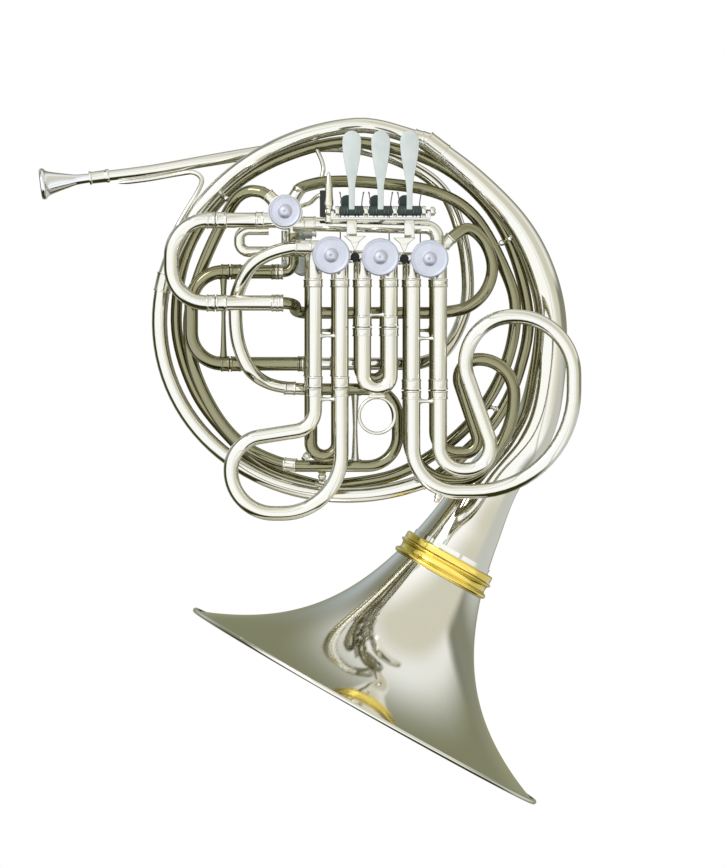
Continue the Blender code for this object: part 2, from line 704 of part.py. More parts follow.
last = valve_at(3)
pipe("change_run", bends([(at.x + 15.0 + GAP, MAIN_LEVEL, at.z - 9.5),
                          (last.x + 6.0, MAIN_LEVEL, last.z + 25.0, 9.0),
                          (last.x + 6.0, MAIN_LEVEL, last.z + 14.5 + GAP)]), BRANCH_R)

crook_in = vec(last.x + 13.0, B_LEVEL, last.z + 13.0)
way = vec(0.7, 0.0, 0.7)
crook = bends(plan([(MAIN_START, MAIN_LEVEL, MAIN_LOW), (-50.0, MAIN_LEVEL, MAIN_LOW, 10.0),
                    (-50.0, BACK_LEVEL, -2.4, 10.0), (-30.0, BACK_LEVEL, -2.4)]))
crook += glide(plan([(62.0, BACK_LEVEL, -2.4), (84.0, BACK_LEVEL, 1.5), (99.0, BACK_LEVEL, 14.0),
                     (105.0, -14.0, 33.0), (99.5, -18.0, 52.0), (86.0, -24.0, 63.5)]), 1)
crook += [crook_in + way * 5.0, crook_in + way * GAP]
pipe("crook_run", crook, RUN_R)

# ---------------------------------------------------------------- slides


def sleeve_pair(name, a0, a1, b0, b1, radius, strut_at, strut_dir):
    """Two fixed sleeves with a cross strut; a0..a1 and b0..b1 are their ends."""
    first = pipe(name, [Vector(a0), Vector(a1)], radius)
    other = pipe(name + "_twin", [Vector(b0), Vector(b1)], radius)
    side = (Vector(b0) - Vector(a0))
    side -= side.dot(strut_dir) * Vector(strut_dir)
    inset = side.normalized() * (radius * FACET - WALL * 0.5)
    foot = Vector(a0) + Vector(strut_dir) * strut_at
    strut = rod(name + "_strut", foot + inset, foot + side - inset, STRUT_R, sides=6)
    carve(first, strut, "UNION", "MANIFOLD")
    carve(first, other, "UNION", "MANIFOLD")


def leg_radius(radius):
    """Outer radius of the sliding leg that runs inside a sleeve."""
    return (radius - WALL) * FACET - SLIDE_CLEAR


def crook_slide(name, left_top, right_top, corners, radius, end_a, end_b):
    """Slide: leg down inside a sleeve, crook through the corners, leg back up."""
    thin = leg_radius(radius)
    down_a = (Vector(end_a) - Vector(left_top)).normalized()
    down_b = (Vector(end_b) - Vector(right_top)).normalized()
    neck_a = Vector(end_a) + down_a * (CROOK_GAP - 0.1)
    neck_b = Vector(end_b) + down_b * (CROOK_GAP - 0.1)
    crook_pts = bends([Vector(end_a) + down_a * CROOK_GAP, *corners,
                       Vector(end_b) + down_b * CROOK_GAP])
    pts = [Vector(left_top), neck_a] + crook_pts + [neck_b, Vector(right_top)]
    radii = [thin, thin] + [radius] * len(crook_pts) + [thin, thin]
    seat(pipe(name, pts, radii), end_a)


def valve_slide(tag, k, level, radius, sleeve_end, corners, strut_at):
    """Sleeves and slide below a valve; corners are (x, z, bend radius)."""
    xa, xb = leg_x(k, level, -1), leg_x(k, level, 1)
    top = STUB_END * TALL - GAP
    end = sleeve_end * TALL
    sleeve_pair("sleeves_" + tag, (xa, level, top), (xa, level, end), (xb, level, top),
                (xb, level, end), radius, strut_at, (0, 0, -1))
    reach = top - LEG_SHORT
    crook_slide("slide_" + tag, (xa, level, reach), (xb, level, reach),
                [(x, level, z * TALL, r) for x, z, r in corners], radius,
                (xa, level, end), (xb, level, end))


def u_bow(k, level, bottom):
    """Corners of a plain round bow."""
    r = LEG_HALF - 0.01
    return [(leg_x(k, level, -1), bottom, r), (leg_x(k, level, 1), bottom, r)]


def f1_slide():
    a, b = leg_x(1, F_LEVEL, -1), leg_x(1, F_LEVEL, 1)
    lobe = F1_LOBE_X * WIDE
    valve_slide("f1", 1, F_LEVEL, F_R, F1_SLEEVE_END,
                [(a, F1_LOBE_TOP + 10.2, 17.0), (lobe, F1_LOBE_TOP, 26.0),
                 (lobe, F1_LOBE_LOW, 33.5), (b, F1_LOBE_LOW, 46.4)], 46.0)


def f3_slide():
    a, b = leg_x(3, F_LEVEL, -1), leg_x(3, F_LEVEL, 1)
    loop = F3_LOOP_X * WIDE
    valve_slide("f3", 3, F_LEVEL, F_R, F3_SLEEVE_END,
                [(a, F3_LOOP_LOW, 34.5), (loop, F3_LOOP_LOW, 79.0), (loop, F3_LOOP_TOP, 45.6),
                 (b + 5.3, F3_LOOP_TOP, 36.5), (b + 47.3, F3_BOW_LOW, 18.8),
                 (b, F3_BOW_LOW, 18.6)], 46.0)


def b3_slide():
    a, b = leg_x(3, B_LEVEL, -1), leg_x(3, B_LEVEL, 1)
    loop = B3_LOOP_X * WIDE
    valve_slide("b3", 3, B_LEVEL, B_R, B3_SLEEVE_END,
                [(a, B3_LOOP_LOW, 34.0), (loop - 29.1, B3_LOOP_LOW, 30.0),
                 (loop, B3_LOOP_LOW + 44.9, 70.0), (loop, B3_LOOP_TOP, 27.0),
                 (b + 12.7, B3_LOOP_TOP, 15.0), (b + 37.3, B3_BOW_LOW, 11.0),
                 (b, B3_BOW_LOW, 17.0)], 40.0)


def side_slide(tag, level, radius, tops, x_end, z_high, z_low, x_bow, bend, strut_at):
    """Slide that pulls out to the left; tops are the sleeves' starts on its two legs."""
    sleeve_pair("sleeves_" + tag, (tops[0], level, z_high), (x_end, level, z_high),
                (tops[1], level, z_low), (x_end, level, z_low), radius, strut_at, (-1, 0, 0))
    inner = tops[0] - LEG_SHORT_BACK
    crook_slide("slide_" + tag, (inner, level, z_high), (inner, level, z_low),
                [(x_bow, level, z_high, bend), (x_bow, level, z_low, bend)],
                radius, (x_end, level, z_high), (x_end, level, z_low))


def pull_ring():
    centre = vec(valve_at(2).x + LEG_SHIFT, F_LEVEL,
                 F2_BOTTOM * TALL - F_R - RING_PULL_R - RING_WIRE_R - 0.1)
    wire = []
    for k in range(6):
        t = math.tau * (k + 0.5) / 6
        wire.append((RING_PULL_R + RING_WIRE_R * math.cos(t), RING_WIRE_R * math.sin(t)))
    seat(turned("pull_ring", wire, centre, (0, 1, 0), SILVER, 20), centre)


f1_slide()
f3_slide()
b3_slide()
valve_slide("f2", 2, F_LEVEL, F_R, F2_SLEEVE_END, u_bow(2, F_LEVEL, F2_BOTTOM), 30.0)
valve_slide("b1", 1, B_LEVEL, B_R, B1_SLEEVE_END, u_bow(1, B_LEVEL, B1_BOTTOM), 40.0)
valve_slide("b2", 2, B_LEVEL, B_R, B2_SLEEVE_END, u_bow(2, B_LEVEL, B2_BOTTOM), 24.0)
pull_ring()
side_slide("main", MAIN_LEVEL, MAIN_R,
           (valve_at(0).x - 16.5 - GAP, MAIN_START * WIDE - GAP), MAIN_SLEEVE_END * WIDE,
           valve_at(0).z - 6.5, MAIN_LOW * TALL, MAIN_BOW_X * WIDE, 28.0, 30.0)
side_slide("tuning", BACK_LEVEL, BRANCH_R,
           (elbow_x - ELBOW_OUT - GAP, TUNE_START * WIDE - GAP), TUNE_SLEEVE_END * WIDE,
           TUNE_HIGH * TALL, TUNE_LOW * TALL, TUNE_BOW_X * WIDE, 25.0, 36.0)

# ---------------------------------------------------------------- levers


def spatula(k, x):
    """Flat paddle that widens towards its round top."""
    curve = bpy.data.curves.new("spatula", "CURVE")
    curve.dimensions = "2D"
    curve.fill_mode = "BOTH"
    curve.extrude = SPATULA_T / 2 * MM
    side = []
    length = SPATULA_TOP - ROD_Z
    for f in (0.0, 0.25, 0.45, 0.62, 0.76, 0.87, 0.94, 0.98, 1.0):
        swell = min(1.0, max(0.0, (f - 0.2) / 0.65))
        grow = swell * swell * (3 - 2 * swell)
        w = NECK_W + (SPATULA_W - NECK_W) * grow
        if f > 0.87:
            w *= math.sqrt(max(0.02, 1 - ((f - 0.87) / 0.132) ** 2))
        side.append((w / 2, f * length))
    outline = side + [(-w, h) for w, h in reversed(side)]
    line = curve.splines.new("POLY")
    line.points.add(len(outline) - 1)
    for point, (u, v) in zip(line.points, outline):
        point.co = (u * MM, v * MM, 0.0, 1.0)
    line.use_cyclic_u = True
    flat = bpy.data.objects.new("spatula", curve)
    helpers.objects.link(flat)
    mesh = bake(flat)
    bpy.data.curves.remove(curve)
    bm = bmesh.new()
    bm.from_mesh(mesh)
    bmesh.ops.remove_doubles(bm, verts=bm.verts, dist=1e-6)
    bmesh.ops.recalc_face_normals(bm, faces=bm.faces)
    bm.transform(Matrix.Translation(vec(x, ROD_Y - BARREL_R + 0.7, ROD_Z) * MM)
                 @ Matrix.Rotation(math.pi / 2, 4, "X"))
    bm.to_mesh(mesh)
    bm.free()
    return add("spatula_%d" % k, mesh, target=helpers)


def lever(k):
    """Finger lever: barrel on the hinge rod, spatula in front, arm to its rotor behind."""
    x = LEVER_X + LEVER_PITCH * (k - 1)
    hub = valve_at(k).x + (ARM_HUB_R if k < 3 else -ARM_HUB_R)
    width = LEVER_PITCH - LEVER_GAP
    barrel = rod("lever_%d" % k, (x - width / 2, ROD_Y, ROD_Z), (x + width / 2, ROD_Y, ROD_Z),
                 BARREL_R, SATIN, sides=12)
    carve(barrel, spatula(k, x), "UNION")
    arm = sweep([vec(x, ROD_Y, ROD_Z), vec(x, ROD_Y + 12, ROD_Z + ARM_RISE),
                 vec(hub, -24.0, ROD_Z + ARM_RISE), vec(hub, ARM_BACK, ROD_Z + 1.0)],
                ARM_WIRE_R, 1, True)
    carve(barrel, add("arm_%d" % k, arm, target=helpers), "UNION")
    carve(barrel, rod("pin_way_%d" % k, (x - width, ROD_Y, ROD_Z), (x + width, ROD_Y, ROD_Z),
                      ROD_R + PIN_CLEAR, sides=12), "DIFFERENCE")
    smooth(barrel)
    seat(barrel, (x, ROD_Y, ROD_Z))


def lever_frame():
    """Hinge rod, and the saddle that holds it above the change run."""
    x0 = LEVER_X - LEVER_PITCH / 2 - 5.0
    x1 = LEVER_X + LEVER_PITCH * 2.5 + 5.0
    rod("hinge_rod", (x0 - 2.0, ROD_Y, ROD_Z), (x1 + 2.0, ROD_Y, ROD_Z), ROD_R, DARK, sides=12)
    under = ROD_Z - SADDLE_DROP
    face = MAIN_LEVEL - BRANCH_R
    saddle = box("lever_saddle", (x0, ROD_Y - 2.4, under), (x1, ROD_Y + 7.0, under + SADDLE_THICK))
    for x in (x0, x1 - POST_W):
        lug = box("lug", (x, ROD_Y - 2.4, under + 0.6), (x + POST_W, ROD_Y + 3.2, ROD_Z + 3.0))
        carve(saddle, lug, "UNION")
    top = under + SADDLE_THICK - 0.1
    for x in (LEVER_X, LEVER_X + 2 * LEVER_PITCH):
        reach = box("foot", (x - FOOT_HALF, ROD_Y + 5.0, under + 0.7),
                    (x + FOOT_HALF, face - 0.6, top))
        carve(saddle, reach, "UNION")
        pad = box("foot", (x - FOOT_HALF, face - 2.6, ROD_Z - 20.0), (x + FOOT_HALF, face - GAP, top))
        carve(saddle, pad, "UNION")
    way = rod("rod_way", (x0 - 1, ROD_Y, ROD_Z), (x1 + 1, ROD_Y, ROD_Z), ROD_R + PIN_CLEAR, sides=12)
    carve(saddle, way, "DIFFERENCE")


def thumb_lever():
    """Thumb lever behind the change valve, with its bracket on the rear tuning sleeve."""
    hub = valve_at(0).x + ARM_HUB_R
    pin = vec(hub + 6.0, THUMB_Y, THUMB_Z)
    half = vec(THUMB_HALF, 0, 0)
    thumb = rod("thumb_lever", pin - half, pin + half, BARREL_R, SATIN, sides=12)
    arm = sweep([pin, pin + vec(-2, -10, 1), vec(hub, 8.0, THUMB_Z), vec(hub, ARM_BACK, THUMB_Z)],
                ARM_WIRE_R, 1, True)
    carve(thumb, add("thumb_arm", arm, target=helpers), "UNION")
    paddle = sweep([pin + vec(0, 0, -2), pin + vec(0, 2, -14), pin + vec(0, 5, -30)],
                   [2.2, 4.5, 7.0], 1, True)
    carve(thumb, add("thumb_paddle", paddle, target=helpers), "UNION")
    past = vec(THUMB_HALF + 1.0, 0, 0)
    carve(thumb, rod("thumb_way", pin - past, pin + past, ROD_R + PIN_CLEAR, sides=12),
          "DIFFERENCE")
    smooth(thumb)
    seat(thumb, pin)
    bracket = rod("thumb_bracket", pin - half * 2, pin + half * 1.25, ROD_R, SATIN, sides=12)
    high = TUNE_HIGH * TALL
    foot = vec(pin.x - 14.0, BACK_LEVEL + BRANCH_R + GAP, high)
    post = sweep([foot, vec(foot.x, THUMB_Y - 6, high + 6.0), vec(foot.x, THUMB_Y, THUMB_Z - 8.0),
                  vec(foot.x, THUMB_Y, THUMB_Z + 3.0)], THUMB_POST_R, 1, True)
    carve(bracket, add("bracket_post", post, target=helpers), "UNION")
    smooth(bracket)


for k in (1, 2, 3):
    lever(k)
lever_frame()
thumb_lever()
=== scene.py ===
"""Looks of a double French horn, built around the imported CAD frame.

Lengths inside the functions are millimetres; MM turns them into Blender's metres.
"""
import math

import bmesh
import bpy
from bpy.props import FloatProperty, FloatVectorProperty, PointerProperty
from mathutils import Matrix, Vector


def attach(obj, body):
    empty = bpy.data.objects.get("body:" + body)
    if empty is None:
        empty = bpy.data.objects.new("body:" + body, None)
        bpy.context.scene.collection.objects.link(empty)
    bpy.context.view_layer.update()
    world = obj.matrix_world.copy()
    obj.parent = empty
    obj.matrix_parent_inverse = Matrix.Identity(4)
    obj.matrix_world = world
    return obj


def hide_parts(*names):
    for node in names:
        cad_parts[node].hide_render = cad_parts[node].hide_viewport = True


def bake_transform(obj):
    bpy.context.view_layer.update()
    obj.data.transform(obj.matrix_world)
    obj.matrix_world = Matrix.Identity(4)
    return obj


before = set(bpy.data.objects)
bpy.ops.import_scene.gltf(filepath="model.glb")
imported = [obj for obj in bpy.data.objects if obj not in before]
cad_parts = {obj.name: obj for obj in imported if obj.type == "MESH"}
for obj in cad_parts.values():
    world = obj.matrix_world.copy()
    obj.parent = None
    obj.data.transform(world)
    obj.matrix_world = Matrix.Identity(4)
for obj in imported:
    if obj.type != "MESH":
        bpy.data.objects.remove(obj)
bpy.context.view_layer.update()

bl_info = {
    "name": "French Horn Looks",
    "version": (1, 0, 0),
    "blender": (4, 5, 0),
    "location": "View3D > Sidebar > Horn",
    "description": "Builds the polished pieces of a double French horn around its CAD frame",
    "category": "Object",
}

MM = 0.001
WRAP = "wrap"

# Coil, as in the CAD
COIL_LONG, COIL_SHORT, COIL_TILT = 158.8, 144.1, math.radians(20.0)
BELL_R, BELL_LENGTH, THROAT_R, FLARE_DEPTH = 155.5, 127.0, 36.0, 105.0
BELL_LEAN = math.radians(29.5)
BELL_DIR = Vector((-math.sin(BELL_LEAN), 0.0, -math.cos(BELL_LEAN)))
RING_AT = Vector((66.6, 29.0, -203.0))

# Depths of the layers of tubing
F_LEVEL, MAIN_LEVEL, B_LEVEL = -52.0, -39.5, -28.0
BRANCH_LEVEL, BOW_LEVEL, ELBOW_LEVEL, BACK_LEVEL = -26.5, -23.0, -19.0, -13.0
INNER_LEVEL, LEAD_LEVEL = 9.5, 12.5

# Valves: middles of the change valve and of valves 1 to 3, seen from the caps
VALVES = (Vector((-57.9, 0.0, 76.4)), Vector((-21.7, 0.0, 42.0)),
          Vector((16.8, 0.0, 40.6)), Vector((55.3, 0.0, 39.2)))
TAGS = ("change", "1", "2", "3")
CASE_R, CASE_FRONT, CASE_BACK = 13.0, -63.0, -13.0
LEG_HALF, F_SHIFT, B_SHIFT, STUB_END = 10.45, -2.6, -5.6, 24.0
MAIN_LOW, TUNE_HIGH, TUNE_LOW = 5.0, 29.9, -42.5

# Levers
ROD = Vector((0.0, -60.0, 76.4))
ROD_R, BARREL_R = 1.5, 3.4
LEVER_X, LEVER_PITCH, SPATULA_TOP = -5.6, 22.6, 139.6
THUMB_PIN = Vector((-44.9, 26.0, 60.0))
HUB_R, GROOVE_R, STRING_R = 7.0, 5.85, 0.45
DRUM_BASE, GROOVE_AT = 2.4, 3.7

# Way out of the change valve, up and to the right
UP_RIGHT = Vector((0.53, 0.0, 0.848))
RIGHT = (1, 0, 0)
BACK, FRONT = (0, 1, 0), (0, -1, 0)

# Stage, in metres
CAMERA_AT, CAMERA_LENS = (0.0032, -8.0, -0.0977), 421.0
FLOOR_SIZE, FLOOR_Z, FLOOR_GREY, FLOOR_GLOW = 3.0, -0.62, 0.93, 0.6


def radius_of(name, what, default):
    """An outer radius in metres, for the panel."""
    return FloatProperty(name=name, description=what, default=default, unit="LENGTH")


def colour_of(name, what, default):
    """A base colour, for the panel."""
    return FloatVectorProperty(name=name, description=what, default=default, size=3,
                               subtype="COLOR", min=0, max=1)


class HornSizes(bpy.types.PropertyGroup):
    """Outer radii of the tubing and of the valve caps."""
    coil: radius_of("Coil", "Outer turn of the coil", 0.0061)
    inner: radius_of("Inner turns", "Second coil turn", 0.0045)
    run: radius_of("Runs", "Runs behind the valves", 0.0047)
    branch: radius_of("Branch", "F branch and change run", 0.0054)
    bow: radius_of("Small bow", "Small bow and elbow", 0.0042)
    f_slide: radius_of("F slides", "Front slides", 0.0058)
    b_slide: radius_of("B-flat slides", "Rear slides", 0.0051)
    main: radius_of("Main slide", "Main tuning slide", 0.0060)
    lead: radius_of("Leadpipe", "Leadpipe at its wide end", 0.0049)
    cap: radius_of("Valve cap", "Radius of a valve cap", 0.0148)


class HornColours(bpy.types.PropertyGroup):
    """Base colours of the metals and the bumpers."""
    nickel: colour_of("Nickel silver", "Polished tubing", (0.84, 0.825, 0.76))
    satin: colour_of("Satin nickel", "Caps and levers", (0.76, 0.78, 0.88))
    plate: colour_of("Silver plate", "Mouthpiece", (0.86, 0.87, 0.90))
    gold: colour_of("Gold lacquer", "Bell thread rings", (1.0, 0.78, 0.17))
    steel: colour_of("Blued steel", "Hinge rod and springs", (0.16, 0.16, 0.17))
    cork: colour_of("Bumper", "Neoprene bumpers", (0.015, 0.016, 0.015))


def sizes():
    return bpy.context.scene.horn_sizes


def colours():
    return bpy.context.scene.horn_colours


# ---------------------------------------------------------------- shader graph
class Value:
    """A shader socket that takes part in Python arithmetic."""

    def __init__(self, graph, socket):
        self.graph = graph
        self.socket = socket

    def _math(self, operation, a, b):
        return self.graph.node("ShaderNodeMath", {"operation": operation}, {0: a, 1: b})

    def __add__(self, other):
        return self._math("ADD", self, other)

    def __sub__(self, other):
        return self._math("SUBTRACT", self, other)

    def __mul__(self, other):
        return self._math("MULTIPLY", self, other)

    def __rsub__(self, other):
        return self._math("SUBTRACT", other, self)

    __radd__ = __add__


class Graph:
    """The node tree of one material, or of the world it is given."""

    def __init__(self, name, world=None):
        self.material = world or bpy.data.materials.new(name)
        self.material.use_nodes = True
        self.tree = self.material.node_tree
        self.shader = self.tree.nodes["Background" if world else "Principled BSDF"]

    def node(self, kind, settings=None, sockets=None, output=0):
        made = self.tree.nodes.new(kind)
        for key, value in (settings or {}).items():
            setattr(made, key, value)
        for key, value in (sockets or {}).items():
            self.feed(made.inputs[key], value)
        return Value(self, made.outputs[output])

    def feed(self, socket, value):
        if isinstance(value, Value):
            self.tree.links.new(value.socket, socket)
        else:
            socket.default_value = value

    def set(self, name, value):
        self.feed(self.shader.inputs[name], value)

    def place(self, scale=(1.0, 1.0, 1.0)):
        coords = self.node("ShaderNodeTexCoord", output=3)
        return self.node("ShaderNodeMapping", {}, {"Vector": coords, "Scale": scale})

    def noise(self, where, scale, detail=3.0, roughness=0.55):
        return self.node("ShaderNodeTexNoise", {}, {"Vector": where, "Scale": scale,
                                                    "Detail": detail, "Roughness": roughness})

    def mix(self, factor, a, b):
        return self.node("ShaderNodeMix", {"data_type": "RGBA"}, {0: factor, 6: a, 7: b}, output=2)

    def smoothstep(self, value, low, high):
        return self.node("ShaderNodeMapRange", {"interpolation_type": "SMOOTHSTEP"},
                         {"Value": value, "From Min": low, "From Max": high})

    def bump(self, height, strength, distance):
        return self.node("ShaderNodeBump", {}, {"Height": height, "Strength": strength,
                                                "Distance": distance})


def rgba(colour, factor=1.0):
    return (*(channel * factor for channel in colour), 1.0)


def polished(name, colour, rough, coat=0.25, warm=0.90, ripple=0.10):
    """Lacquered metal: cloudy tint, polishing haze, hairlines and slight hammer ripple."""
    g = Graph(name)
    here = g.place()
    cloud = g.noise(here, 22.0)
    haze = g.noise(here, 140.0, 5.0)
    hair = g.noise(g.place((1.0, 1.0, 0.06)), 2600.0, 2.0)
    spots = g.smoothstep(g.noise(here, 420.0, 2.0), 0.66, 0.80)
    toned = g.mix(g.smoothstep(cloud, 0.35, 0.70), rgba(colour),
                  rgba((colour[0], colour[1] * 0.985, colour[2] * warm)))
    g.set("Base Color", g.mix(spots * 0.35, toned, rgba(colour, 0.62)))
    g.set("Metallic", 1.0)
    g.set("Roughness", rough + haze * 0.05 + g.smoothstep(hair, 0.58, 0.72) * 0.05 + spots * 0.12)
    g.set("Coat Weight", coat)
    g.set("Coat Roughness", 0.06)
    low = g.bump(g.noise(here, 45.0, 1.0), ripple, 0.0006)
    g.set("Normal", g.node("ShaderNodeBump", {}, {"Height": hair, "Strength": 0.05,
                                                  "Distance": 0.0001, "Normal": low}))
    return g.material


def satin(name, colour, rough=0.42, grain=(1.0, 1.0, 0.05)):
    """Brushed, bead-blasted nickel with finger-worn patches."""
    g = Graph(name)
    brushed = g.noise(g.place(grain), 3000.0, 3.0)
    worn = g.smoothstep(g.noise(g.place(), 90.0, 4.0), 0.40, 0.72)
    g.set("Base Color", g.mix(worn * 0.5 + brushed * 0.25, rgba(colour), rgba(colour, 0.80)))
    g.set("Metallic", 1.0)
    g.set("Roughness", rough + brushed * 0.16 - worn * 0.14)
    g.set("Normal", g.bump(brushed, 0.18, 0.0002))
    return g.material


def turned_satin(name, colour, middle):
    """Satin cap face with the fine rings left by the lathe about its own middle."""
    g = Graph(name)
    coords = g.node("ShaderNodeTexCoord", output=3)
    shifted = g.node("ShaderNodeVectorMath", {"operation": "SUBTRACT"},
                     {0: coords, 1: tuple(middle * MM)})
    flat = g.node("ShaderNodeVectorMath", {"operation": "MULTIPLY"}, {0: shifted, 1: (1, 0, 1)})
    reach = g.node("ShaderNodeVectorMath", {"operation": "LENGTH"}, {0: flat}, output=1)
    rings = g.node("ShaderNodeMath", {"operation": "SINE"}, {0: reach * 21000.0})
    grain = g.noise(g.place(), 1900.0, 4.0)
    cloud = g.noise(g.place(), 160.0, 3.0)
    g.set("Base Color", g.mix(cloud * 0.6 + grain * 0.3, rgba(colour), rgba(colour, 0.74)))
    g.set("Metallic", 1.0)
    g.set("Roughness", 0.36 + grain * 0.16 + cloud * 0.10)
    g.set("Normal", g.bump(rings * 0.25 + grain, 0.22, 0.00025))
    return g.material


def rubber(name, colour):
    """Matt black bumper material with a cut, porous face."""
    g = Graph(name)
    pores = g.noise(g.place(), 1500.0, 5.0)
    g.set("Base Color", g.mix(pores, rgba(colour), rgba(colour, 2.6)))
    g.set("Roughness", 0.72 + pores * 0.18)
    g.set("Normal", g.bump(pores, 0.5, 0.0003))
    return g.material


def thread(name):
    """Waxed linen cord of the rotor strings."""
    g = Graph(name)
    twist = g.node("ShaderNodeTexWave", {"bands_direction": "DIAGONAL"},
                   {"Vector": g.place(), "Scale": 700.0, "Distortion": 1.5})
    g.set("Base Color", g.mix(twist, rgba((0.02, 0.02, 0.022)), rgba((0.09, 0.09, 0.10))))
    g.set("Roughness", 0.6 + twist * 0.2)
    g.set("Normal", g.bump(twist, 0.6, 0.0003))
    return g.material


def metal(kind):
    """The material of that kind, made on first use."""
    have = bpy.data.materials.get("horn_" + kind)
    if have:
        return have
    c = colours()
    # The first tint is painted shade: it darkens the nickel to an olive for tubing that lies behind
    # the front layer. The second warms the satin.
    painted_shade_tint, worn = (0.36, 0.35, 0.24), (0.90, 0.93, 0.80)
    makers = {
        "nickel": lambda n: polished(n, c.nickel, 0.05, warm=0.94),
        "bell": lambda n: polished(n, c.nickel, 0.03, coat=0.35, warm=0.96, ripple=0.08),
        "fittings": lambda n: polished(n, tuple(v * 0.97 for v in c.nickel), 0.11, ripple=0.05),
        "plate": lambda n: polished(n, c.plate, 0.06, coat=0.0, warm=0.97, ripple=0.02),
        "gold": lambda n: polished(n, c.gold, 0.14, coat=0.5, warm=0.80, ripple=0.04),
        "steel": lambda n: polished(n, c.steel, 0.20, coat=0.0, ripple=0.02),
        "satin": lambda n: satin(n, tuple(v * w for v, w in zip(c.satin, worn))),
        # inner: the same nickel darkened by the painted shade tint, a shaded copy standing in for
        # the shadow the front tubes cast on the rear ones.
        "inner": lambda n: polished(n, tuple(v * w for v, w in zip(c.nickel, painted_shade_tint)), 0.03),
        "leg": lambda n: satin(n, c.nickel, 0.20, (1.0, 1.0, 0.02)),
        "rubber": lambda n: rubber(n, c.cork),
        "cloth": lambda n: rubber(n, (0.022, 0.034, 0.030)),
        "thread": thread,
    }
    return makers[kind]("horn_" + kind)


# ---------------------------------------------------------------- paths
def bends(corners, step=6.0):
    """Points of a pipe run: straight between corners, an arc of the given radius at each."""
    pts = [Vector(corners[0][:3])]
    for i in range(1, len(corners) - 1):
        prev, here, nxt = (Vector(corners[j][:3]) for j in (i - 1, i, i + 1))
        radius = corners[i][3] if len(corners[i]) > 3 else 0.0
        a = (prev - here).normalized()
        b = (nxt - here).normalized()
        swing = math.pi - a.angle(b)
        if radius <= 0.0 or swing < 1e-3:
            pts.append(here)
            continue
        reach = radius * math.tan(swing / 2)
        centre = here + (a + b).normalized() * (radius / math.cos(swing / 2))
        arm = here + a * reach - centre
        axis = (-a).cross(b).normalized()
        count = max(2, round(math.degrees(swing) / step))
        for k in range(count + 1):
            pts.append(centre + Matrix.Rotation(swing * k / count, 3, axis) @ arm)
    pts.append(Vector(corners[-1][:3]))
    return pts


def glide(stations, per=8):
    """Smooth centreline through the stations; a fourth number, where given, is the radius."""
    pts = []
    for i in range(len(stations) - 1):
        p0, p1 = stations[max(i - 1, 0)], stations[i]
        p2, p3 = stations[i + 1], stations[min(i + 2, len(stations) - 1)]
        for k in range(per):
            t = k / per
            pts.append([0.5 * (2 * b + (c - a) * t + (2 * a - 5 * b + 4 * c - d) * t * t
                               + (3 * b - a - 3 * c + d) * t ** 3)
                        for a, b, c, d in zip(p0, p1, p2, p3)])
    pts.append(list(stations[-1]))
    if len(stations[0]) == 3:
        return [Vector(p) for p in pts]
    return [Vector(p[:3]) for p in pts], [p[3] for p in pts]


def coil_arc(start, settle, end, inset, count=74):
    """Outer coil turn, angles in degrees from +X; it starts inside the oval and settles on it."""
    pts = []
    for k in range(count + 1):
        degrees = start + (end - start) * k / count
        f = min(1.0, (degrees - start) / (settle - start))
        pull = inset * (1 - f * f * (3 - 2 * f))
        long, short = COIL_LONG - pull, COIL_SHORT - pull
        angle = math.radians(degrees)
        t = angle - COIL_TILT
        r = long * short / math.hypot(short * math.cos(t), long * math.sin(t))
        pts.append(Vector((r * math.cos(angle), 0.0, r * math.sin(angle))))
    return pts


# ---------------------------------------------------------------- mesh helpers
def finish(name, bm, material, body=WRAP, nodes=()):
    """Turn a bmesh (in millimetres) into a smooth piece that rides on a body, if one is given."""
    bmesh.ops.remove_doubles(bm, verts=bm.verts, dist=1e-4)
    bmesh.ops.recalc_face_normals(bm, faces=bm.faces)
    bmesh.ops.scale(bm, vec=(MM, MM, MM), verts=bm.verts)
    mesh = bpy.data.meshes.new(name)
    bm.to_mesh(mesh)
    bm.free()
    mesh.shade_smooth()
    mesh.set_sharp_from_angle(angle=math.radians(38))
    mesh.materials.append(material)
    obj = link(name, mesh)
    if body:
        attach(obj, body)
    if nodes:
        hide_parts(*nodes)
    return obj


def link(name, data):
    """A new object for that data, linked to the scene."""
    obj = bpy.data.objects.new(name, data)
    bpy.context.scene.collection.objects.link(obj)
    return obj


def turn_to(direction):
    """Rotation that takes +Z to the direction."""
    up = Vector((0, 0, 1))
    return up.rotation_difference(Vector(direction).normalized()).to_matrix().to_4x4()


def grow(bm, edges, matrix):
    """Extrude a loop of edges and move what is made; the new edges."""
    made = bmesh.ops.extrude_edge_only(bm, edges=edges)["geom"]
    verts = [g for g in made if isinstance(g, bmesh.types.BMVert)]
    bmesh.ops.transform(bm, matrix=matrix, verts=verts)
    return [g for g in made if isinstance(g, bmesh.types.BMEdge)]


def sweep(bm, pts, radii, sides=24, wall=0.55, deep=6.0):
    """Round tube along the points, with open bored ends."""
    if not hasattr(radii, "__len__"):
        radii = [radii] * len(pts)
    ahead = (pts[1] - pts[0]).normalized()
    basis = turn_to(ahead)
    places = []
    for i, point in enumerate(pts):
        if i:
            forward = (pts[min(i + 1, len(pts) - 1)] - pts[i - 1]).normalized()
            basis = ahead.rotation_difference(forward).to_matrix().to_4x4() @ basis
            ahead = forward
        places.append(Matrix.Translation(point) @ basis @ Matrix.Scale(radii[i], 4))
    first = bmesh.ops.create_circle(bm, segments=sides, radius=1.0, matrix=places[0])["verts"]
    rim = list({e for v in first for e in v.link_edges})
    edges = rim
    for before, after in zip(places, places[1:]):
        edges = grow(bm, edges, after @ before.inverted())
    for loop, place, inward, radius in ((rim, places[0], 1, radii[0]),
                                        (edges, places[-1], -1, radii[-1])):
        bore = max(0.3, 1 - wall / radius)
        steps = (Matrix.Scale(bore, 4), Matrix.Translation((0, 0, inward * deep / radius)))
        for step in steps:
            loop = grow(bm, loop, place @ step @ place.inverted())
        bmesh.ops.contextual_create(bm, geom=loop)


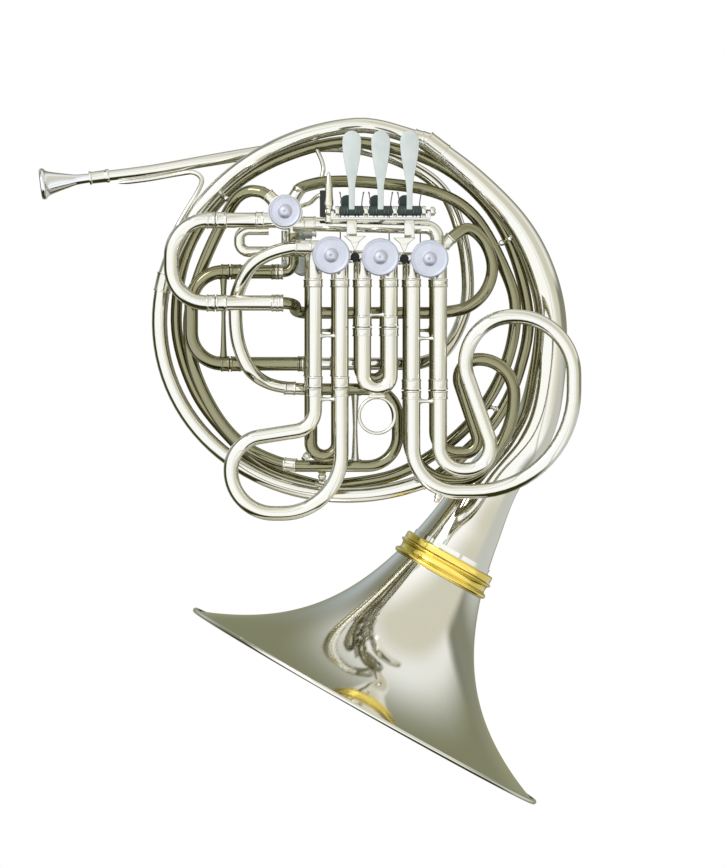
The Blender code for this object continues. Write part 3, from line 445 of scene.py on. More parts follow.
def tube(name, pts, radii, material="nickel", body=WRAP, nodes=None, sides=28):
    """A tube piece; it stands for the CAD node of the same name unless told otherwise."""
    bm = bmesh.new()
    sweep(bm, pts, radii, sides)
    return finish(name + "_skin", bm, metal(material), body, (name,) if nodes is None else nodes)


def lathe(bm, profile, origin, axis, steps=48):
    """Spin a closed (radius, height) outline about an axis and add it to the bmesh."""
    part = bmesh.new()
    verts = [part.verts.new((r, 0.0, h)) for r, h in profile]
    edges = [part.edges.new(pair) for pair in zip(verts, verts[1:])]
    if profile[0][0] > 0 or profile[-1][0] > 0:
        edges.append(part.edges.new((verts[-1], verts[0])))
    bmesh.ops.spin(part, geom=verts + edges, cent=(0, 0, 0), axis=(0, 0, 1), angle=math.tau,
                   steps=steps, use_merge=True)
    bmesh.ops.remove_doubles(part, verts=part.verts, dist=1e-4)
    bmesh.ops.recalc_face_normals(part, faces=part.faces)
    part.transform(Matrix.Translation(Vector(origin)) @ turn_to(axis))
    join(bm, part)


def join(bm, part):
    """Add one bmesh to another and free it."""
    scratch = bpy.data.meshes.new("scratch")
    part.to_mesh(scratch)
    part.free()
    bm.from_mesh(scratch)
    bpy.data.meshes.remove(scratch)


def box(bm, middle, dims, edge, segments=3):
    """Block with its edges rounded over."""
    part = bmesh.new()
    bmesh.ops.create_cube(part, size=1.0, matrix=Matrix.Translation(middle)
                          @ Matrix.Diagonal((*dims, 1)))
    bmesh.ops.bevel(part, geom=part.edges[:], offset=edge, segments=segments, profile=0.5,
                    affect="EDGES", material=-1)
    join(bm, part)


def washer(inner, low, outer, high, edge):
    """Outline of a ring, or of a disc where inner is 0, with its corners rounded."""
    return rounded([(inner, low), (outer, low), (outer, high), (inner, high)], edge)


def rounded(profile, radius, count=3):
    """The same outline with each of its corners rounded."""
    flat = [Vector((r, 0.0, h)) for r, h in profile]
    out = []
    total = len(flat)
    for i, here in enumerate(flat):
        prev, nxt = flat[i - 1], flat[(i + 1) % total]
        if here.x < 1e-6 or (prev - here).length < 1e-6 or (nxt - here).length < 1e-6:
            out.append((here.x, here.z))
            continue
        cut = min(radius, (prev - here).length * 0.45, (nxt - here).length * 0.45)
        a = here + (prev - here).normalized() * cut
        b = here + (nxt - here).normalized() * cut
        for k in range(count + 1):
            t = k / count
            p = a * (1 - t) ** 2 + here * (2 * t * (1 - t)) + b * t * t
            out.append((p.x, p.z))
    return out


def collar(bm, at, along, radius, length=9.0, height=0.8, steps=32):
    """Ferrule with a bead at each end, around a tube of that outer radius."""
    half = length / 2
    inner = radius - 0.2
    outline = [(inner, -half), (radius + height, -half), (radius + height, -half + 1.1),
               (radius + height * 0.55, -half + 1.5), (radius + height * 0.55, half - 1.5),
               (radius + height, half - 1.1), (radius + height, half), (inner, half)]
    lathe(bm, rounded(outline, 0.35), at, along, steps)


def strut(bm, a, b, thick=1.5, pad=3.6, along=(0, 0, 1)):
    """Waisted brace between two tube surfaces, with a diamond foot at each end."""
    a, b = Vector(a), Vector(b)
    length = (b - a).length
    outline = [(0.0, 0.0), (thick * 1.5, 0.0), (thick * 1.2, length * 0.12), (thick, length * 0.3),
               (thick * 0.85, length * 0.5), (thick, length * 0.7), (thick * 1.2, length * 0.88),
               (thick * 1.5, length), (0.0, length)]
    lathe(bm, outline, a, b - a, 20)
    across = (b - a).normalized()
    up = Vector(along)
    side = across.cross(up).normalized()
    for spot in (a, b):
        part = bmesh.new()
        bmesh.ops.create_cone(part, cap_ends=True, segments=4, radius1=1.0, radius2=0.86, depth=1.0)
        bmesh.ops.bevel(part, geom=part.edges[:], offset=0.12, segments=3, profile=0.5,
                        affect="EDGES", material=-1)
        frame3 = Matrix((side * pad * 0.72, up * pad * 1.35, across * 1.3)).transposed().to_4x4()
        part.transform(Matrix.Translation(spot) @ frame3)
        bmesh.ops.recalc_face_normals(part, faces=part.faces)
        join(bm, part)


def ball_strut(bm, a, b, thick=1.3):
    """Short brace with a ball in its middle."""
    a, b = Vector(a), Vector(b)
    length = (b - a).length
    mid = length / 2
    ball = thick * 1.9
    outline = [(0.0, 0.0), (thick * 2.0, 0.0), (thick * 1.6, 1.0), (thick, 1.8),
               (thick, mid - ball)]
    outline += [(max(thick, ball * math.sin(t)), mid - ball * math.cos(t))
                for t in (math.pi * k / 8 for k in range(1, 8))]
    outline += [(thick, mid + ball), (thick, length - 1.8), (thick * 1.6, length - 1.0),
                (thick * 2.0, length), (0.0, length)]
    lathe(bm, outline, a, b - a, 20)


def screw(bm, at, axis, radius=1.6):
    """Slotted cheese-head screw."""
    part = bmesh.new()
    bmesh.ops.create_cone(part, cap_ends=True, segments=24, radius1=radius, radius2=radius * 0.94,
                          depth=1.2)
    bmesh.ops.bevel(part, geom=[e for e in part.edges if e.is_boundary or e.calc_face_angle(0) > 1],
                    offset=0.18, segments=2, profile=0.5, affect="EDGES", material=-1)
    part.transform(Matrix.Translation(Vector(at)) @ turn_to(axis))
    join(bm, part)
    bar = bmesh.new()
    bmesh.ops.create_cube(bar, size=1.0, matrix=Matrix.Translation((0, 0, 0.62))
                          @ Matrix.Diagonal((radius * 1.7, 0.3, 0.12, 1)))
    bar.transform(Matrix.Translation(Vector(at)) @ turn_to(axis))
    join(bm, bar)


# ---------------------------------------------------------------- pieces of several tubes
def collars(name, spots):
    """Ferrules (place, direction, tube radius, length) joined into one piece."""
    bm = bmesh.new()
    for at, along, radius, length in spots:
        collar(bm, at, along, radius, length)
    finish(name, bm, metal("fittings"))


def sleeve(bm, a, b, radius, wall=0.55, head=6.0, foot=8.0, height=0.75):
    """Straight bored sleeve with a ferrule at each end."""
    a, b = Vector(a), Vector(b)
    length = (b - a).length
    big, mid = radius + height, radius + height * 0.6
    outline = [(radius - wall, 0.0), (big, 0.0), (big, 1.0), (mid, 1.4), (mid, head - 1.4),
               (big, head - 1.0), (big, head), (radius, head + 0.4),
               (radius, length - foot - 0.4), (big, length - foot), (big, length - foot + 1.0),
               (mid, length - foot + 1.4), (mid, length - 1.6), (big, length - 1.2), (big, length),
               (radius - wall, length)]
    lathe(bm, rounded(outline, 0.3, 2), a, b - a, 40)


def slide_path(tops, ends, corners, radius, thin):
    """Path and radii of a slide: leg down a sleeve, crook, leg back up."""
    tops, ends = [Vector(p) for p in tops], [Vector(p) for p in ends]
    down = [(ends[i] - tops[i]).normalized() for i in (0, 1)]
    crook = bends([ends[0] + down[0] * 0.9, *corners, ends[1] + down[1] * 0.9])
    pts = [tops[0], ends[0] + down[0] * 0.4] + crook + [ends[1] + down[1] * 0.4, tops[1]]
    return pts, [thin, thin] + [radius] * len(crook) + [thin, thin]


def slide_pair(tag, tops, ends, corners, radius, brace_at, bands=()):
    """Sleeves on the wrap and the slide that runs in them, with their ferrules and braces."""
    along = (Vector(ends[0]) - Vector(tops[0])).normalized()
    thin = (radius - 0.55) * math.cos(math.pi / 8) - 0.12
    bm = bmesh.new()
    for top, end in zip(tops, ends):
        sleeve(bm, top, end, radius)
    across = Vector(tops[1]) - Vector(tops[0])
    across -= across.dot(along) * along
    inset = across.normalized() * (radius * 0.94)
    for reach in brace_at:
        foot = Vector(tops[0]) + along * reach
        strut(bm, foot + inset, foot + across - inset, 1.3, 2.6, along)
    # Sleeves behind the main level take the darkened nickel: painted shade for the rear layer.
    kind = "inner" if Vector(tops[0]).y > MAIN_LEVEL + 1.0 else "nickel"
    finish("sleeves_%s_skin" % tag, bm, metal(kind), WRAP, ("sleeves_" + tag,))
    starts = [Vector(top) + along * (9.0 if along.z < -0.5 else 3.0) for top in tops]
    if along.z >= -0.5:
        starts[1] = starts[1] + along * (starts[0] - starts[1]).dot(along)
    pts, radii = slide_path(starts, ends, corners, radius, thin)
    bm = bmesh.new()
    sweep(bm, pts, radii, 28)
    for i in (0, 1):
        collar(bm, Vector(ends[i]) + along * 4.2, along, radius, 6.6)
    for at, way, length in bands:
        collar(bm, at, way, radius, length)
    return bm


# ---------------------------------------------------------------- operators
class HORN_OT_coil(bpy.types.Operator):
    """Three turns of the body coil and the bell tail"""
    bl_idname = "horn.coil"
    bl_label = "Coil and bell tail"
    bl_options = {"REGISTER", "UNDO"}

    def execute(self, context):
        s = sizes()
        coil, inner, run = s.coil / MM, s.inner / MM, s.run / MM
        outer = coil_arc(70.0, 91.0, 292.0, 6.5)
        tube("coil_outer_turn", outer, coil, sides=36)
        start = outer[-1]
        heading = (start - outer[-4]).normalized()
        near, far = start + heading * 1.2, start + heading * 9.0
        second = [tuple(near), tuple(far), (82.0, 4.0, -114.0), (109.0, 7.0, -85.0),
                  (127.0, INNER_LEVEL, -46.0), (133.2, INNER_LEVEL, 0.0),
                  (115.0, INNER_LEVEL + 0.6, 61.5), (79.6, INNER_LEVEL + 0.6, 104.0),
                  (32.3, INNER_LEVEL, 126.5), (-22.9, INNER_LEVEL, 131.6),
                  (-89.8, INNER_LEVEL, 104.8), (-132.0, INNER_LEVEL, 54.0),
                  (-144.2, INNER_LEVEL, -7.9), (-131.0, INNER_LEVEL, -60.0),
                  (-105.0, INNER_LEVEL, -97.0), (-72.0, INNER_LEVEL, -125.0),
                  (-30.7, INNER_LEVEL, -138.5)]
        route = glide(second)
        radii = [coil + (inner - coil) * min(1.0, k / 24) for k in range(len(route))]
        # The second and third turns take the darkened nickel: painted shade for tubing behind the
        # outer turn.
        tube("coil_second_turn", route, radii, "inner", sides=32)
        third = [(-26.0, INNER_LEVEL, -139.0), (28.0, INNER_LEVEL, -130.0), (71.7, 6.0, -104.0),
                 (100.9, 2.0, -72.0), (118.0, 0.0, -36.0), (123.3, 0.0, 0.8), (115.0, 0.0, 31.5),
                 (90.6, 0.0, 74.1), (58.0, 0.0, 93.5), (8.7, -2.0, 100.5), (-22.9, -10.0, 100.9),
                 (-37.0, -20.0, 98.5)]
        change = Vector((VALVES[0].x, B_LEVEL, VALVES[0].z))
        third += [tuple(change + UP_RIGHT * 22.0), tuple(change + UP_RIGHT * 17.35)]
        tube("coil_third_turn", glide(third), run, "inner", sides=32)
        onward = (outer[0] - outer[1]).normalized()
        tail = [(*(outer[0] + onward * 5.0), coil + 0.8), (88.8, -1.4, 105.2, 8.6),
                (122.0, -0.8, 70.5, 9.9), (141.0, 2.4, 36.0, 11.4), (151.0, 6.0, -4.0, 12.3),
                (148.0, 13.0, -52.0, 14.8), (136.5, 20.0, -94.6, 17.5),
                (*(RING_AT - BELL_DIR * 80.0), 22.3), (*(RING_AT - BELL_DIR * 34.0), 29.0),
                (*(RING_AT - BELL_DIR * 10.0), THROAT_R - 2)]
        path, radii = glide(tail)
        path, radii = [outer[0] + onward * 0.35] + path, [coil + 0.8] + radii
        tube("bell_tail", path, radii, "bell", sides=56)
        spots = [(outer[0] - onward * 2.0, onward, coil + 0.2, 8.0),
                 (outer[34], outer[35] - outer[33], coil, 15.0),
                 (path[3], path[4] - path[2], 7.6, 18.0),
                 (outer[-1], heading, coil, 10.0),
                 (Vector((-28.5, INNER_LEVEL, -138.8)), Vector((1, 0, 0)), inner, 12.0)]
        collars("coil_ferrules", spots)
        return {"FINISHED"}


class HORN_OT_leadpipe(bpy.types.Operator):
    """Leadpipe, its guard wire, the receiver and the mouthpiece"""
    bl_idname = "horn.leadpipe"
    bl_label = "Leadpipe and mouthpiece"
    bl_options = {"REGISTER", "UNDO"}

    def execute(self, context):
        lead = sizes().lead / MM
        y = LEAD_LEVEL
        stations = [(-199.0, y, 106.0, 4.1), (-164.7, y, 110.3, 4.3), (-125.3, y + 1, 117.0, 4.6),
                    (-85.9, y + 6, 123.7, lead), (-45.0, 21.0, 129.5, lead),
                    (0.0, 21.0, 128.0, lead),
                    (40.2, 21.0, 114.3, lead), (68.0, 21.0, 92.0, lead), (82.0, 21.0, 55.0, lead),
                    (86.0, 19.0, 15.8, lead), (79.6, 12.0, -11.8, lead), (66.0, -4.0, -34.0, lead),
                    (46.0, BACK_LEVEL, TUNE_LOW, lead)]
        path, radii = glide(stations)
        path.append(Vector((-41.6, BACK_LEVEL, TUNE_LOW)))
        radii.append(lead)
        tube("leadpipe", path, radii, sides=32)
        axis = (Vector(stations[1][:3]) - Vector(stations[0][:3])).normalized()
        mouth = path[0]
        guard = glide([(-190.0, y, 100.4), (-165.0, y, 103.6), (-142.0, 11.5, 107.6),
                       (-130.5, 8.0, 108.6), (-124.0, 3.0, 103.0), (-127.0, -1.0, 93.6),
                       (-135.0, -4.2, 80.0), (-143.0, -6.2, 66.0), (-151.5, -6.8, 48.0)])
        taper = [1.9 * min(1.0, 0.35 + 0.2 * min(k, len(guard) - 1 - k)) for k in range(len(guard))]
        tube("leadpipe_guard", guard, taper, "fittings", sides=18)
        bm = bmesh.new()
        lathe(bm, rounded([(4.45, 2.0), (5.2, 2.0), (5.4, 0.0), (4.9, -1.5), (4.7, -12.0),
                           (5.3, -12.5), (5.3, -14.0), (4.0, -14.0), (3.75, -0.35), (4.45, -0.35)],
                          0.25), mouth, axis, 40)
        finish("mouthpiece_receiver_skin", bm, metal("fittings"), WRAP, ("mouthpiece_receiver",))
        bm = bmesh.new()
        cup = [(1.9, 0.5), (3.0, 0.5), (3.3, -6.0), (3.6, -13.0), (3.8, -20.0), (4.1, -24.5),
               (4.6, -27.0), (5.8, -32.0), (7.2, -38.0), (8.5, -43.0), (9.6, -46.6),
               (10.8, -48.4), (12.0, -49.2), (12.4, -50.4), (12.4, -51.4), (11.7, -52.6),
               (10.4, -53.0), (9.2, -52.6), (8.4, -51.0), (7.6, -46.0), (6.4, -38.0), (4.4, -31.0),
               (2.2, -26.0)]
        lathe(bm, rounded(cup, 1.4, 4), mouth, axis, 64)
        finish("mouthpiece_skin", bm, metal("plate"), "mouthpiece", ("mouthpiece",))
        return {"FINISHED"}


class HORN_OT_bell(bpy.types.Operator):
    """Flare with its rolled rim, and both halves of the bell thread"""
    bl_idname = "horn.bell"
    bl_label = "Bell"
    bl_options = {"REGISTER", "UNDO"}

    def execute(self, context):
        power = math.log(BELL_R / THROAT_R) / math.log(1 + BELL_LENGTH / FLARE_DEPTH)
        count = 56
        outside = []
        for k in range(count + 1):
            f = 1 - (1 - k / count) ** 1.7
            radius = BELL_R * (1 + BELL_LENGTH * (1 - f) / FLARE_DEPTH) ** -power
            outside.append((radius, BELL_LENGTH * f))
        outside[-1] = (BELL_R - 2.6, BELL_LENGTH - 2.4)
        inside = [(r - 0.6, h + 0.45) for r, h in outside]
        inside[0] = (THROAT_R - 0.5, 0.0)
        inside[-1] = (BELL_R - 4.6, BELL_LENGTH - 1.6)
        bead = [(BELL_R - 1.7 + 2.0 * math.sin(t), BELL_LENGTH - 0.9 - 2.0 * math.cos(t))
                for t in (math.pi * (k - 1) / 10 for k in range(13))]
        bead += [(BELL_R - 4.1, BELL_LENGTH - 0.5)]
        bm = bmesh.new()
        lathe(bm, outside + bead + inside[::-1], RING_AT, BELL_DIR, 160)
        finish("bell_flare_skin", bm, metal("bell"), "bell", ("bell_flare",))
        bm = bmesh.new()
        spigot = THROAT_R - 0.8
        lathe(bm, rounded([(spigot + 0.35, -6.0), (38.3, -6.0), (39.5, -5.8), (40.0, -4.9),
                           (39.8, -4.0), (38.7, -3.4), (38.0, -2.4), (37.7, -0.6), (37.8, 1.2),
                           (38.4, 2.4), (39.6, 2.8), (40.5, 3.8), (40.6, 5.0), (40.0, 6.2),
                           (38.8, 6.8), (THROAT_R + 2.75, 6.8), (THROAT_R + 1.35, -0.2),
                           (spigot + 0.35, -0.2)],
                          0.35), RING_AT, BELL_DIR, 128)
        finish("bell_ring_female_skin", bm, metal("gold"), "bell", ("bell_ring_female",))
        bm = bmesh.new()
        ridges = []
        for k in range(4):
            ridges += [(spigot, -5.6 + k * 1.2), (spigot - 0.35, -5.0 + k * 1.2)]
        head = [(34.35, -12.0), (37.4, -12.0), (38.2, -11.4), (38.4, -10.5), (38.4, -6.4),
                (spigot, -6.4)]
        foot = [(spigot, -0.8), (33.0, -0.8), (33.0, -9.4), (34.35, -9.4)]
        lathe(bm, rounded(head + ridges + foot, 0.2, 2), RING_AT, BELL_DIR, 128)
        finish("bell_ring_male_skin", bm, metal("gold"), "bell_thread", ("bell_ring_male",))
        return {"FINISHED"}


def clipped(make, cutter):
    """The bmesh that make fills, less a cutter object."""
    bm = bmesh.new()
    make(bm)
    bmesh.ops.recalc_face_normals(bm, faces=bm.faces)
    mesh = bpy.data.meshes.new("blank")
    bm.to_mesh(mesh)
    bm.free()
    blank = link("blank", mesh)
    cut = blank.modifiers.new("chamber", "BOOLEAN")
    cut.operation = "DIFFERENCE"
    cut.solver = "EXACT"
    cut.object = cutter
    bpy.context.view_layer.update()
    graph = bpy.context.evaluated_depsgraph_get()
    made = bmesh.new()
    made.from_object(blank, graph)
    bpy.data.objects.remove(blank, do_unlink=True)
    bpy.data.meshes.remove(mesh)
    return made


class HORN_OT_valves(bpy.types.Operator):
    """Rotor casings with their ports, caps, stop arms and bumpers"""
    bl_idname = "horn.valves"
    bl_label = "Rotary valves"
    bl_options = {"REGISTER", "UNDO"}

    def ports(self, k):
        """(corners, radius) of each port of a casing."""
        at = VALVES[k]
        s = sizes()
        f, b, run = s.f_slide / MM, s.b_slide / MM, s.run / MM
        branch, bow, main = s.branch / MM, s.bow / MM, s.main / MM

        def port(level, x0, z0, x1, z1, radius):
            return [(at.x + x0, level, at.z + z0), (at.x + x1, level, at.z + z1)], radius

        if k == 0:
            change = Vector((at.x, B_LEVEL, at.z))
            return [port(MAIN_LEVEL, 6, -9.5, 15, -9.5, branch),
                    port(MAIN_LEVEL, -6, -6.5, -16.5, -6.5, main),
                    port(B_LEVEL, -5.5, 5.5, -10.5, 10.5, run),
                    ([tuple(change + UP_RIGHT * 9.0), tuple(change + UP_RIGHT * 17.0)], run),
                    port(ELBOW_LEVEL, 6.5, -8.0, 6.5, -16.0, bow)]
        out = []
        for level, radius, shift in ((F_LEVEL, f, F_SHIFT), (B_LEVEL, b, B_SHIFT)):
            for side in (-1, 1):
                x = at.x + shift + side * LEG_HALF
                high = at.z + 1.0
                out.append(([(at.x + side * 4.0, level, high), (x, level, high, 5.0 + radius * 0.2),
                             (x, level, STUB_END)], radius))
            meet = 16.25
            if k > 1:
                z = at.z + 0.7
                out.append(([(at.x - 9, level, z), (at.x - 38.5 + meet + 0.35, level, z)], run))
            if k < 3:
                z = at.z - 0.7
                out.append(([(at.x + 9, level, z), (at.x + meet, level, z)], run))
        if k == 1:
            out.append(port(F_LEVEL, -7, 6.5, -15.5, 6.5, branch))
            out.append(port(BOW_LEVEL, -7, 3.5, -15.5, 3.5, bow))
        if k == 3:
            out.append(port(MAIN_LEVEL, 6, 6, 6, 14.5, branch))
            out.append(port(B_LEVEL, 6, 6, 13, 13, run))
        return out

    def casing(self, k):
        at = VALVES[k]
        tag = TAGS[k]
        bm = bmesh.new()
        length = CASE_BACK - CASE_FRONT
        outline = [(3.0, 0.0), (CASE_R + 0.5, 0.0), (CASE_R + 0.5, 2.4), (CASE_R, 2.8),
                   (CASE_R, length - 2.6), (CASE_R + 0.4, length - 2.2), (CASE_R + 0.4, length),
                   (10.9, length), (10.9, 4.0), (3.0, 4.0)]
        lathe(bm, rounded(outline, 0.3), (at.x, CASE_BACK, at.z), (0, -1, 0), 64)
        hollow = bmesh.new()
        lathe(hollow, [(0.0, -2.0), (11.6, -2.0), (11.6, length + 4.0), (0.0, length + 4.0)],
              (at.x, CASE_BACK, at.z), (0, -1, 0), 48)
        mesh = bpy.data.meshes.new("chamber")
        hollow.to_mesh(mesh)
        hollow.free()
        cutter = link("chamber", mesh)
        for corners, radius in self.ports(k):
            join(bm, clipped(lambda part: sweep(part, bends(corners), radius, deep=2.0), cutter))
        bpy.data.objects.remove(cutter, do_unlink=True)
        bpy.data.meshes.remove(mesh)
        finish("valve_case_%s_skin" % tag, bm, metal("nickel"), WRAP, ("valve_case_" + tag,))

    def cap(self, k):
        at = VALVES[k]
        tag = TAGS[k]
        reach = sizes().cap / MM * (1.0 if k else 0.86)
        bm = bmesh.new()
        skirt = -2.0 if k else 0.35
        outline = [(0.0, 6.4), (0.7, 6.4), (0.9, 7.8), (1.6, 8.0), (3.0, 7.7), (4.2, 7.0),
                   (5.1, 6.0), (5.5, 5.5), (5.9, 5.2), (6.2, 5.2),
                   (reach - 3.0, 5.2), (reach - 2.6, 5.2), (reach - 2.2, 5.5), (reach - 1.0, 5.5),
                   (reach, 4.6), (reach, 3.4), (reach - 0.35, 3.1), (reach - 0.35, 2.5),
                   (reach, 2.2), (reach, skirt), (reach - 0.9, skirt), (reach - 1.0, 0.35),
                   (0.0, 0.35)]
        lathe(bm, outline, (at.x, CASE_FRONT, at.z), (0, -1, 0), 96)
        name = "horn_cap_" + tag
        material = turned_satin(name, colours().satin, at)
        finish("valve_cap_%s_skin" % tag, bm, material, WRAP, ("valve_cap_" + tag,))

    def arm(self, k):
        """Stop arm: drum with its string groove, clamp screw and the lug between the bumpers."""
        at = VALVES[k]
        tag = TAGS[k]
        base = CASE_BACK + DRUM_BASE
        bm = bmesh.new()
        lathe(bm, rounded([(2.95, 0.0), (HUB_R, 0.0), (HUB_R, 1.6), (HUB_R - 1.6, 2.2),
                           (HUB_R - 1.6, 5.2), (HUB_R, 5.8), (HUB_R, 7.0), (2.95, 7.0)], 0.3),
              (at.x, base, at.z), (0, 1, 0), 48)
        box(bm, (at.x, base + 1.6, at.z - 8.0), (3.6, 2.6, 5.0), 0.5)
        screw(bm, (at.x + HUB_R - 1.2, base + 3.6, at.z), (1, 0, 0), 1.1)
        finish("stop_arm_%s_skin" % tag, bm, metal("fittings"),
               "rotor_%s" % tag, ("stop_arm_" + tag,))

    def bumpers(self):
        """Cork plates behind each casing, with their dark bumpers on the wrap."""
        plates, pads = bmesh.new(), bmesh.new()
        for at in VALVES:
            for side in (-1, 1):
                spot = Vector((at.x + side * 9.8, CASE_BACK + 3.6, at.z - 5.0))
                lathe(pads, washer(0.0, 0.0, 1.9, 3.2, 0.4), spot,
                      (0, 1, 0), 24)
                lathe(plates, washer(0.0, 0.0, 2.7, 3.4, 0.4),
                      spot - Vector((0, 3.6, 0)), (0, 1, 0), 24)
        finish("cork_plates", plates, metal("fittings"))
        finish("bumpers_rear", pads, metal("rubber"))

    def execute(self, context):
        for k in range(4):
            self.casing(k)
            self.cap(k)
            self.arm(k)
        self.bumpers()
        return {"FINISHED"}


class HORN_OT_runs(bpy.types.Operator):
    """Fixed tubing behind the valves, with its ferrules"""
    bl_idname = "horn.runs"
    bl_label = "Fixed runs"
    bl_options = {"REGISTER", "UNDO"}

    def execute(self, context):
        s = sizes()
        run, branch, bow = s.run / MM, s.branch / MM, s.bow / MM
        at, one, last = VALVES[0], VALVES[1], VALVES[3]
        start, way = Vector((at.x - 10.5, B_LEVEL, at.z + 10.5)), Vector((-0.7, 0.0, 0.7))
        bottom = bends([(-48.0, -10.0, -122.9), (-7.0, BACK_LEVEL, -122.9),
                        (30.5, BACK_LEVEL, -122.9, 24.0), (30.5, BACK_LEVEL, -62.5, 22.0),
                        (-30.0, BACK_LEVEL, -62.5)])
        back = [start + way * 0.35, start + way * 2.5] + glide([
            (-76.4, -27.0, 92.4), (-86.5, -24.0, 93.0), (-97.0, -18.0, 86.5), (-109.0, -7.0, 66.0),
            (-121.5, 0.0, 39.0), (-130.5, 0.0, 12.0), (-134.0, 0.0, -14.0), (-129.5, 0.0, -47.0),
            (-113.0, 0.0, -82.0), (-92.0, -2.0, -105.8), (-66.2, -6.0, -119.0),
            tuple(bottom[0])])[:-1] + bottom
        # This run, the elbow and the crook run take the darkened nickel: painted shade for the rear
        # layer.
        tube("f_return_run", back, run, "inner", sides=32)
        lower = glide([(-31.0, BACK_LEVEL, -62.5), (-52.0, BACK_LEVEL - 2, -61.8),
                       (-72.0, -19.0, -57.5), (-86.0, BRANCH_LEVEL, -46.5),
                       (-94.5, BRANCH_LEVEL, -27.0), (-97.0, BRANCH_LEVEL, -5.0),
                       (-95.5, BRANCH_LEVEL - 2, 12.0), (-86.0, -40.0, 32.0), (-72.0, -46.0, 42.6),
                       (one.x - 30.0, F_LEVEL, one.z + 6.5), (one.x - 15.85, F_LEVEL, one.z + 6.5)])
        grow = [run + (branch - run) * min(1.0, max(0.0, (k - 16) / 8)) for k in range(len(lower))]
        tube("f_branch_run", lower, grow, sides=36)
        high = at.z - 13.5
        tube("small_bow", bends([(one.x - 15.85, BOW_LEVEL, one.z + 3.5),
                                 (at.x - 36.0, BOW_LEVEL, one.z + 3.5, 7.5),
                                 (at.x - 36.0, BOW_LEVEL, high, 7.5),
                                 (at.x - 13.0, BOW_LEVEL, high)]), bow)
        elbow_x = at.x + 6.5
        tube("elbow", bends([(elbow_x - 11.0, BACK_LEVEL, TUNE_HIGH),
                             (elbow_x, BACK_LEVEL, TUNE_HIGH, 8.0),
                             (elbow_x, BACK_LEVEL, at.z - 27.4, 8.0),
                             (elbow_x, ELBOW_LEVEL, at.z - 21.4, 8.0),
                             (elbow_x, ELBOW_LEVEL, at.z - 16.35)]), bow, "inner")
        tube("change_run", bends([(at.x + 15.35, MAIN_LEVEL, at.z - 9.5),
                                  (last.x + 6.0, MAIN_LEVEL, last.z + 25.0, 9.0),
                                  (last.x + 6.0, MAIN_LEVEL, last.z + 14.85)]), branch, sides=32)
        crook_in = Vector((last.x + 13.0, B_LEVEL, last.z + 13.0))
        up = Vector((0.7, 0.0, 0.7))
        first = bends([(-62.0, MAIN_LEVEL, MAIN_LOW), (-50.0, MAIN_LEVEL, MAIN_LOW, 10.0),
                       (-50.0, BACK_LEVEL, -2.4, 10.0), (-30.0, BACK_LEVEL, -2.4)])
        crook = first + glide([(62.0, BACK_LEVEL, -2.4), (84.0, BACK_LEVEL, 1.5),
                               (99.0, BACK_LEVEL, 14.0), (105.0, -14.0, 33.0),
                               (99.5, -18.0, 52.0), (86.0, -24.0, 63.5),
                               tuple(crook_in + up * 5.0), tuple(crook_in + up * 0.35)])
        tube("crook_run", crook, run, "inner", sides=32)
        change = Vector((at.x, B_LEVEL, at.z))
        collars("run_ferrules", [
            (change + UP_RIGHT * 17.0, UP_RIGHT, run, 10.0),
            ((-43.5, F_LEVEL, one.z + 6.5), RIGHT, branch, 13.0),
            (crook_in + up * 2.0, up, run, 9.0),
            ((-54.4, BACK_LEVEL - 2.3, -61.6), (20, 2, -0.7), run, 9.0),
            ((-54.0, -8.6, -121.9), (-17.7, 4.0, 1.8), run, 10.0),
            (start + way * 1.5, way, run, 8.0),
            ((elbow_x - 11.2, BACK_LEVEL, TUNE_HIGH), RIGHT, branch, 6.0),
            ((-41.6, BACK_LEVEL, TUNE_LOW), RIGHT, branch, 6.0),
            ((at.x + 19.0, MAIN_LEVEL, at.z - 9.5), RIGHT, branch, 10.0),
            ((-62.2, MAIN_LEVEL, MAIN_LOW), RIGHT, sizes().main / MM, 6.0)])
        return {"FINISHED"}


